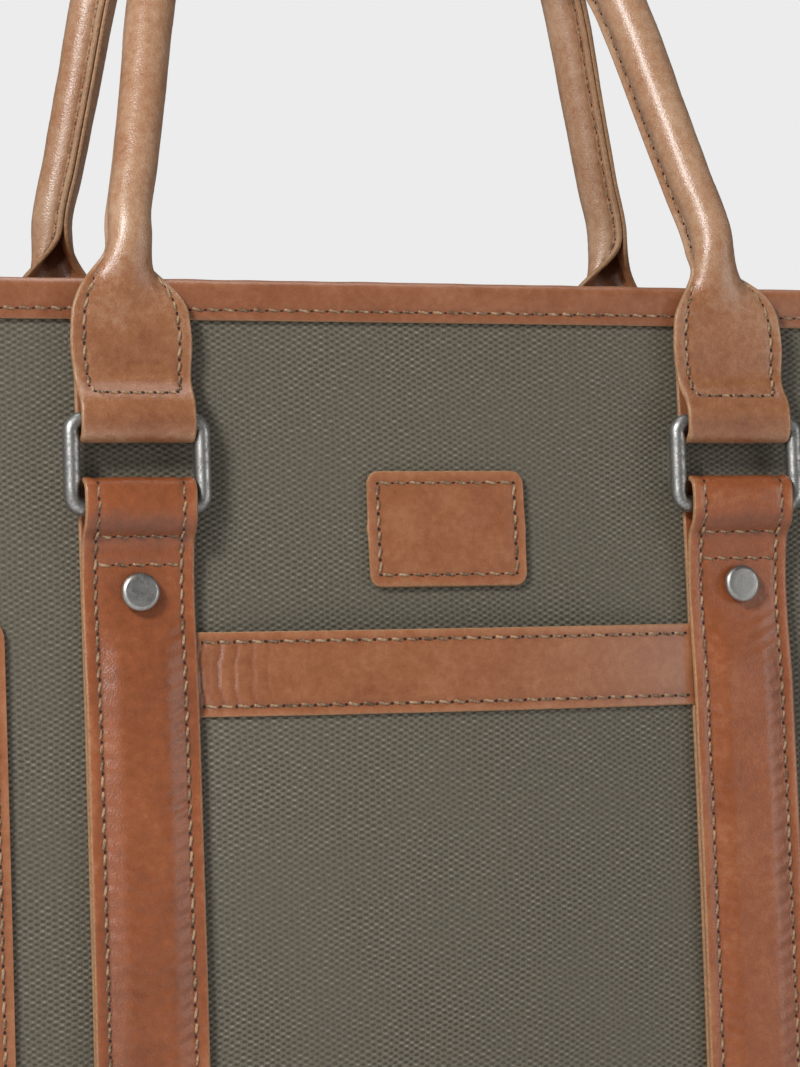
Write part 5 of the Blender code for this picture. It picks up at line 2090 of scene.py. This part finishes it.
@dataclass
class TopZip:
    """The recessed zip: ledges, flaps, tapes with their teeth, and the slider's pull."""

    finishes: Finishes
    z: float = 279 * MM
    hinge_y: float = 29.5 * MM
    half_length: float = 165 * MM
    flap: float = 1.4 * MM
    flap_edge: float = 7.5 * MM
    tape: float = 0.7 * MM
    tooth_pitch: float = 2.6 * MM
    slider_x: float = -135 * MM
    wire: float = 0.9 * MM

    @property
    def teeth_z(self) -> float:
        """Height of the middle of the teeth."""
        return self.z - self.flap / 2 - SHAPE.gap - self.tape / 2

    def build(self) -> None:
        """Makes every piece of the zip."""
        for facing in Facing:
            self.ledge(facing)
            self.leaf(facing)
            self.row(facing)
        for node in ("zip_slider", "zip_slider_bail"):
            dress(node, self.finishes.brass)
        self.puller()

    def ledge(self, facing: Facing) -> None:
        """The cloth ledge from the binding down to the flap's fold.

        Args:
            facing: front or back.
        """
        depth = SHAPE.lining_depth + SHAPE.lining + SHAPE.gap + self.flap / 2
        edge = -(self.hinge_y + self.flap / 2 + SHAPE.gap)
        x = spread(-self.half_length, self.half_length, 90)
        wall = SHAPE.face_y(x, self.z) + depth
        rows = []
        for z in spread(SHAPE.height - 16.5 * MM, self.z + 1.2 * MM, 4):
            rows.append(grid(x, SHAPE.face_y(x, z) + depth, z))
        for share in (0.05, 0.18, 0.35, 0.6, 0.85, 1.0):
            drop = 0.36 * MM * (1 - smooth(share * 4))
            rows.append(grid(x, wall + (edge - wall) * share, self.z + drop))
        middle = np.stack(rows)
        along = run_along(middle[:, 45])
        skin = Skin()
        Sheet(middle, x, along, self.flap - SHAPE.gap, facing=facing.value).add_to(skin)
        obj = skin.build(f"zip_ledge_{facing.word}", self.finishes.lining)
        fit(obj, "bag", Slot.LINING, f"zip_facing_{facing.word}")

    def leaf(self, facing: Facing) -> None:
        """The canvas flap that carries half of the zip.

        Args:
            facing: front or back.
        """
        x = spread(-self.half_length, self.half_length, 130)
        y = spread(-self.hinge_y, -self.flap_edge, 16)
        middle = grid(x[None, :], y[:, None], self.z)
        edge = (-self.flap_edge - y)[:, None]
        swell = 1 + ripple(x[None, :], y[:, None], 0.04, 1.0)
        relief = -0.00018 * bell(edge - 2.6 * MM, 0.001) - 0.0001 * swell
        skin = Skin()
        sheet = Sheet(middle, x, y - y[0], self.flap, np.minimum(relief, 0.0), facing=facing.value)
        outer = sheet.add_to(skin)
        holes = spread(-self.half_length + 3 * MM, self.half_length - 3 * MM, 72)
        place = self.hinge_y - self.flap_edge - 2.6 * MM
        SEAM.sew(skin, *outer.at(holes, np.full(len(holes), place)))
        obj = skin.build(f"zip_leaf_{facing.word}", *self.finishes.sewn_canvas)
        fit(obj, f"zip_{facing.word}_half", Slot.CANVAS, f"zip_flap_{facing.word}")

    def row(self, facing: Facing) -> None:
        """Half of the zip: its tape and its own teeth.

        Args:
            facing: front or back.
        """
        end = self.half_length - 2 * MM
        x = spread(-end, end, 60)
        y = spread(-12.5 * MM, -2.6 * MM, 6)
        middle = grid(x[None, :], y[:, None], self.teeth_z)
        skin = Skin()
        Sheet(middle, x, y - y[0], self.tape, facing=facing.value).add_to(skin)
        outline = rounded_box(0.65 * MM, 1.15 * MM, 0.3 * MM, 4)
        shift = 0.0 if facing is Facing.FRONT else self.tooth_pitch / 2
        for place in np.arange(-end + 2 * MM, end - 2 * MM, self.tooth_pitch):
            loops = []
            for depth, size in ((0.8, 0.75), (1.0, 1.0), (1.9, 0.9), (3.0, 1.0)):
                x, z = place + shift + outline[:, 0] * size, self.teeth_z + outline[:, 1] * size
                loops.append(grid(x, -depth * MM * facing.value, z))
            loft(skin, np.stack(loops), slot=1)
        obj = skin.build(f"zip_row_{facing.word}", self.finishes.tape, self.finishes.brass)
        fit(obj, f"zip_{facing.word}_half", Slot.TEETH, f"zip_teeth_{facing.word}")

    def puller(self) -> None:
        """The wire loop and the folded leather pull on it."""
        bar_z = self.teeth_z + 1.2 * MM + 2 * SHAPE.gap + 1.2 * MM + self.wire
        length, half, corner = 14 * MM, 4.2 * MM, 1.6 * MM
        path = filled_in(rounded_box(length / 2, half, corner, 6), 0.8 * MM)
        points = grid(self.slider_x + length / 2 + path[:, 0], path[:, 1], bar_z)
        skin = Skin()
        tube_along(skin, points, np.tile([0.0, 0, 1.0], (len(points), 1)), self.wire, 14, True)
        fit(skin.build("zip_wire_loop", self.finishes.brass), "puller", Slot.METAL, "zip_puller")
        thickness = 1.0 * MM
        reach = self.wire + SHAPE.gap + thickness / 2
        far = self.slider_x + length
        rows = [(far + d, 0.0, bar_z - reach + 0.3 * MM) for d in (36 * MM, 20 * MM, 6 * MM)]
        rows += [
            (far - reach * math.sin(a), 0.0, bar_z - reach * math.cos(a)) for a in spread(0, math.pi, 7)
        ]
        rows += [(far + d, 0.0, bar_z + 0.3 * MM) for d in (6 * MM, 20 * MM, 36 * MM)]
        line, along = flow(np.array(rows), 0.8 * MM)
        across = spread(-3 * MM, 3 * MM, 9)
        middle = grid(line[:, 0:1], -across[None, :], line[:, 2:3])
        skin = Skin()
        outer = Sheet(middle, across + 3 * MM, along, thickness).add_to(skin)
        top = along[-1] - spread(3 * MM, 26 * MM, 6)
        SEAM.sew(skin, *outer.at(np.full(6, 3 * MM), top))
        fit(skin.build("zip_pull_strip", *self.finishes.leather), "puller", Slot.LEATHER, "zip_pull_leather")


@dataclass
class SideRings:
    """A leather tab on each end with a D-ring hanging in its fold."""

    finishes: Finishes
    z: float = 248.5 * MM
    out: float = 5.3 * MM
    wire: float = 1.7 * MM
    half_width: float = 13.5 * MM
    drop: float = 21 * MM
    tab_half_width: float = 10 * MM
    tab_top: float = 281 * MM
    clearance: float = 0.4 * MM

    def build(self) -> None:
        """Makes both."""
        for side in Side:
            self.tab(side)
            self.ring(side)

    def tab(self, side: Side) -> None:
        """The folded leather tab.

        Args:
            side: which end.
        """
        reach = self.wire + self.clearance + SHAPE.leather / 2
        inner = SHAPE.gap + 0.3 * MM + SHAPE.leather / 2
        outside = inner + SHAPE.leather + SHAPE.gap
        middle_x = SHAPE.half_width + self.out
        rows = [(SHAPE.half_width + inner, 0.0, z) for z in (self.tab_top, 0.271, self.z + 12 * MM)]
        rows += [
            (middle_x - reach * math.cos(a), 0.0, self.z - 0.1 * MM - reach * math.sin(a))
            for a in spread(0, math.pi, 9)
        ]
        heights = (self.z + 12 * MM, 0.270, self.tab_top - 2 * MM)
        rows += [(SHAPE.half_width + outside, 0.0, z) for z in heights]
        line, along = flow(np.array(rows), 1.0 * MM)
        across = spread(-self.tab_half_width, self.tab_half_width, 23)
        middle = grid(line[:, 0:1], across[None, :], line[:, 2:3])
        edge = self.tab_half_width - np.abs(across)[None, :]
        last = along[-1] - along[:, None]
        groove = -0.0002 * bell(edge - 2.6 * MM, 0.0009) * (last < 20 * MM)
        tone = 0.4 * bell(edge, 0.0012)
        skin = Skin()
        from_edge = across + self.tab_half_width
        sheet = Sheet(middle, from_edge, along, SHAPE.leather, groove, tone, hand=side.value)
        outer = sheet.add_to(skin)
        low, high = float(along[-1]) - 18 * MM, float(along[-1]) - 2.8 * MM
        left, right = 2.8 * MM, 2 * self.tab_half_width - 2.8 * MM
        path = [(left, low), (left, high), (right, high), (right, low)]
        lines = [along_line(pair, 4.6 * MM) for pair in zip(path, path[1:] + path[:1])]
        holes = np.concatenate([line[:-1] for line in lines])
        SEAM.sew(skin, *outer.at(holes[:, 0], holes[:, 1]), closed=True)
        obj = skin.build(f"side_tab_leather_{side.word}", *self.finishes.leather)
        fit(obj, "bag", Slot.LEATHER, f"side_tab_{side.word}")

    def ring(self, side: Side) -> None:
        """The D-ring.

        Args:
            side: which end.
        """
        straight = [(y, 0.0) for y in spread(self.half_width - 1 * MM, -self.half_width + 1 * MM, 14)]
        drop = self.drop - self.half_width
        angles = spread(0, math.pi, 28)
        turn = [(-self.half_width * math.cos(a), -drop - self.half_width * math.sin(a)) for a in angles]
        shoulder = [(-self.half_width + 0.3 * MM, -0.3 * MM), (-self.half_width, -1.2 * MM)]
        down = [(-self.half_width, -z * MM) for z in (3.0, 5.0)]
        left = shoulder + down
        right = [(-y, z) for y, z in left[::-1]]
        flat = np.array(straight + left + turn + right)
        points = grid(side.value * (SHAPE.half_width + self.out), flat[:, 0], self.z + flat[:, 1])
        skin = Skin()
        tube_along(skin, points, np.tile([1.0, 0, 0], (len(points), 1)), self.wire, 16, True)
        obj = skin.build(f"shoulder_ring_{side.word}", self.finishes.pewter)
        fit(obj, f"d_ring_{side.word}", Slot.METAL, f"side_d_ring_{side.word}")


@dataclass
class Inside:
    """The padded laptop divider and the slip pocket on its front."""

    finishes: Finishes
    y: float = 14 * MM
    thickness: float = 5 * MM
    half_width: float = 180 * MM
    top: float = 248 * MM
    pocket_half_width: float = 85 * MM
    pocket_low: float = 60 * MM
    pocket_top: float = 190 * MM
    bulge: float = 9 * MM
    cloth: float = 1.0 * MM

    def build(self) -> None:
        """Makes both."""
        self.divider()
        self.pocket()

    def divider(self) -> None:
        """The foam divider, quilted in upright channels."""
        low = SHAPE.base + 4 * SHAPE.gap + SHAPE.lining + 3 * MM
        x = spread(-self.half_width, self.half_width, 150)
        z = spread(low + 1 * MM, self.top - 1 * MM, 80)
        middle = grid(x[None, :], self.y, z[:, None])
        channel = np.abs(np.sin(x * math.pi / (36 * MM)))[None, :]
        relief = -0.0009 * (1 - channel**0.5)
        skin = Skin()
        Sheet(middle, x, z, self.thickness - 0.2 * MM, relief).add_to(skin)
        obj = fit(skin.build("divider_pad", self.finishes.lining), "bag", Slot.LINING, "laptop_divider")

    def pocket(self) -> None:
        """The slip pocket."""
        x = spread(-self.pocket_half_width, self.pocket_half_width, 60)
        z = spread(self.pocket_low, self.pocket_top, 40)
        across = np.maximum(0.0, 1 - (x / self.pocket_half_width) ** 2)[None, :]
        rise = ((z - self.pocket_low) / (self.pocket_top - self.pocket_low))[:, None]
        bulge = self.bulge * across**0.8 * smooth(rise)
        y = self.y - self.thickness / 2 - SHAPE.gap - self.cloth / 2 - bulge
        middle = grid(x[None, :], y, z[:, None])
        skin = Skin()
        Sheet(middle, x, z, self.cloth).add_to(skin)
        obj = fit(skin.build("inside_pocket_cloth", self.finishes.lining), "bag", Slot.LINING, "inner_pocket")


# The studio


@dataclass(frozen=True)
class Softbox:
    """One square soft light: where it stands, its side, and its power in watts."""

    name: str
    place: tuple[float, float, float]
    size: float
    power: float

    def add(self, target: tuple[float, float, float]) -> None:
        """Puts it in the scene, aimed at the target.

        Args:
            target: the point it faces.
        """
        light = bpy.data.lights.new(self.name, "AREA")
        light.shape, light.size, light.energy = "SQUARE", self.size, self.power
        obj = placed(self.name, light)
        obj.location = self.place
        heading = Vector(self.place) - Vector(target)
        obj.rotation_euler = heading.to_track_quat("Z", "Y").to_euler()


@dataclass
class Studio:
    """A pale floor, a pale surround, soft lights and the camera."""

    target: tuple[float, float, float] = (0.0, -0.045, 0.230)
    aim: tuple[float, float, float] = (-0.0099, -0.0415, 0.2240)
    azimuth: float = math.radians(-19.45)
    elevation: float = math.radians(-0.81)
    roll: float = math.radians(-0.66)
    distance: float = 1.020
    lens: float = 113.33
    sensor: float = 36.0
    pale: float = 0.838
    ambient: float = 0.12
    floor_size: float = 6.0
    floor_drop: float = 0.3 * MM
    floor_glow: float = 0.6
    lights: tuple[Softbox, ...] = (
        Softbox("key", (-1.15, -0.95, 1.15), 0.34, 25.5),
        Softbox("glint", (-1.0, -1.15, 0.45), 0.22, 2.2),
        Softbox("fill", (1.2, -1.0, 0.4), 0.7, 4.0),
        Softbox("top", (0.1, 0.2, 1.5), 0.8, 6.5),
    )

    def build(self) -> None:
        """Sets the scene up."""
        self.floor()
        self.world()
        for light in self.lights:
            light.add(self.target)
        self.camera()

    def floor(self) -> None:
        """A large pale floor under the bag, which looks as pale as the surround even far from the lights."""
        mesh = bpy.data.meshes.new("floor")
        half = self.floor_size
        corners = [(-half, -half, 0), (half, -half, 0), (half, half, 0), (-half, half, 0)]
        mesh.from_pydata(corners, [], [(0, 1, 2, 3)])
        obj = placed("floor", mesh)
        obj.location.z = -self.floor_drop
        s = Shader("pale_floor")
        colour = s.mix(s.noise(2.0, 2.0), (0.78, 0.78, 0.78), (0.82, 0.82, 0.82))
        mesh.materials.append(s.done(Base_Color=colour, Roughness=0.8))
        seen = s.node("ShaderNodeLightPath")
        glow = s.node("ShaderNodeEmission", {}, {"Color": (1.0, 1.0, 1.0), "Strength": self.pale})
        lit = Wire(s, s.surface.outputs[0])
        both = s.node("ShaderNodeMixShader", {}, {0: seen * self.floor_glow, 1: lit, 2: glow})
        s.connect(s.tree.nodes["Material Output"], {"Surface": both})

    def world(self) -> None:
        """A pale surround that lights the bag less than it shows."""
        world = bpy.data.worlds.new("surround")
        bpy.context.scene.world = world
        world.use_nodes = True
        tree = world.node_tree
        tree.nodes.clear()
        path, mix, out = (
            tree.nodes.new(f"ShaderNode{kind}") for kind in ("LightPath", "MixShader", "OutputWorld")
        )
        tree.links.new(path.outputs["Is Camera Ray"], mix.inputs[0])
        for socket, strength in ((1, self.ambient), (2, self.pale)):
            node = tree.nodes.new("ShaderNodeBackground")
            node.inputs["Color"].default_value = (1.0, 1.0, 1.0, 1.0)
            node.inputs["Strength"].default_value = strength
            tree.links.new(node.outputs[0], mix.inputs[socket])
        tree.links.new(mix.outputs[0], out.inputs["Surface"])
        bpy.context.scene.view_settings.view_transform = "Standard"

    def camera(self) -> None:
        """The camera, low and to the left of the front."""
        a, e = self.azimuth, self.elevation
        back = Vector((math.sin(a) * math.cos(e), -math.cos(a) * math.cos(e), math.sin(e)))
        right = Vector((math.cos(a), math.sin(a), 0))
        up = back.cross(right)
        up = up * math.cos(self.roll) - right * math.sin(self.roll)
        eye = Vector(self.target) + back * self.distance
        back = (eye - Vector(self.aim)).normalized()
        right = up.cross(back).normalized()
        up = back.cross(right)
        data = bpy.data.cameras.new("view")
        data.sensor_width, data.lens = self.sensor, self.lens
        obj = placed("view", data)
        obj.matrix_world = Matrix.Translation(eye) @ Matrix((right, up, back)).transposed().to_4x4()
        bpy.context.scene.camera = obj


def main() -> None:
    """Builds the bag piece by piece."""
    logging.basicConfig(level=logging.INFO, format="%(name)s: %(message)s")
    Studio().build()
    finishes = Finishes()
    for group in (Shell, EndPanels, FrontPocket, Patch, Binding):
        group(finishes).build()
    front = (0.0, 1.9 * MM, math.radians(21.5), 93.7 * MM, math.radians(22))
    back = (4.0 * MM, 0.1 * MM, math.radians(1.5), 96.2 * MM, math.radians(-8))
    CarrySet(finishes, Facing.FRONT, *front).build()
    CarrySet(finishes, Facing.BACK, *back).build()
    for group in (TopZip, SideRings, Inside):
        group(finishes).build()


if __name__ == "__main__":
    main()
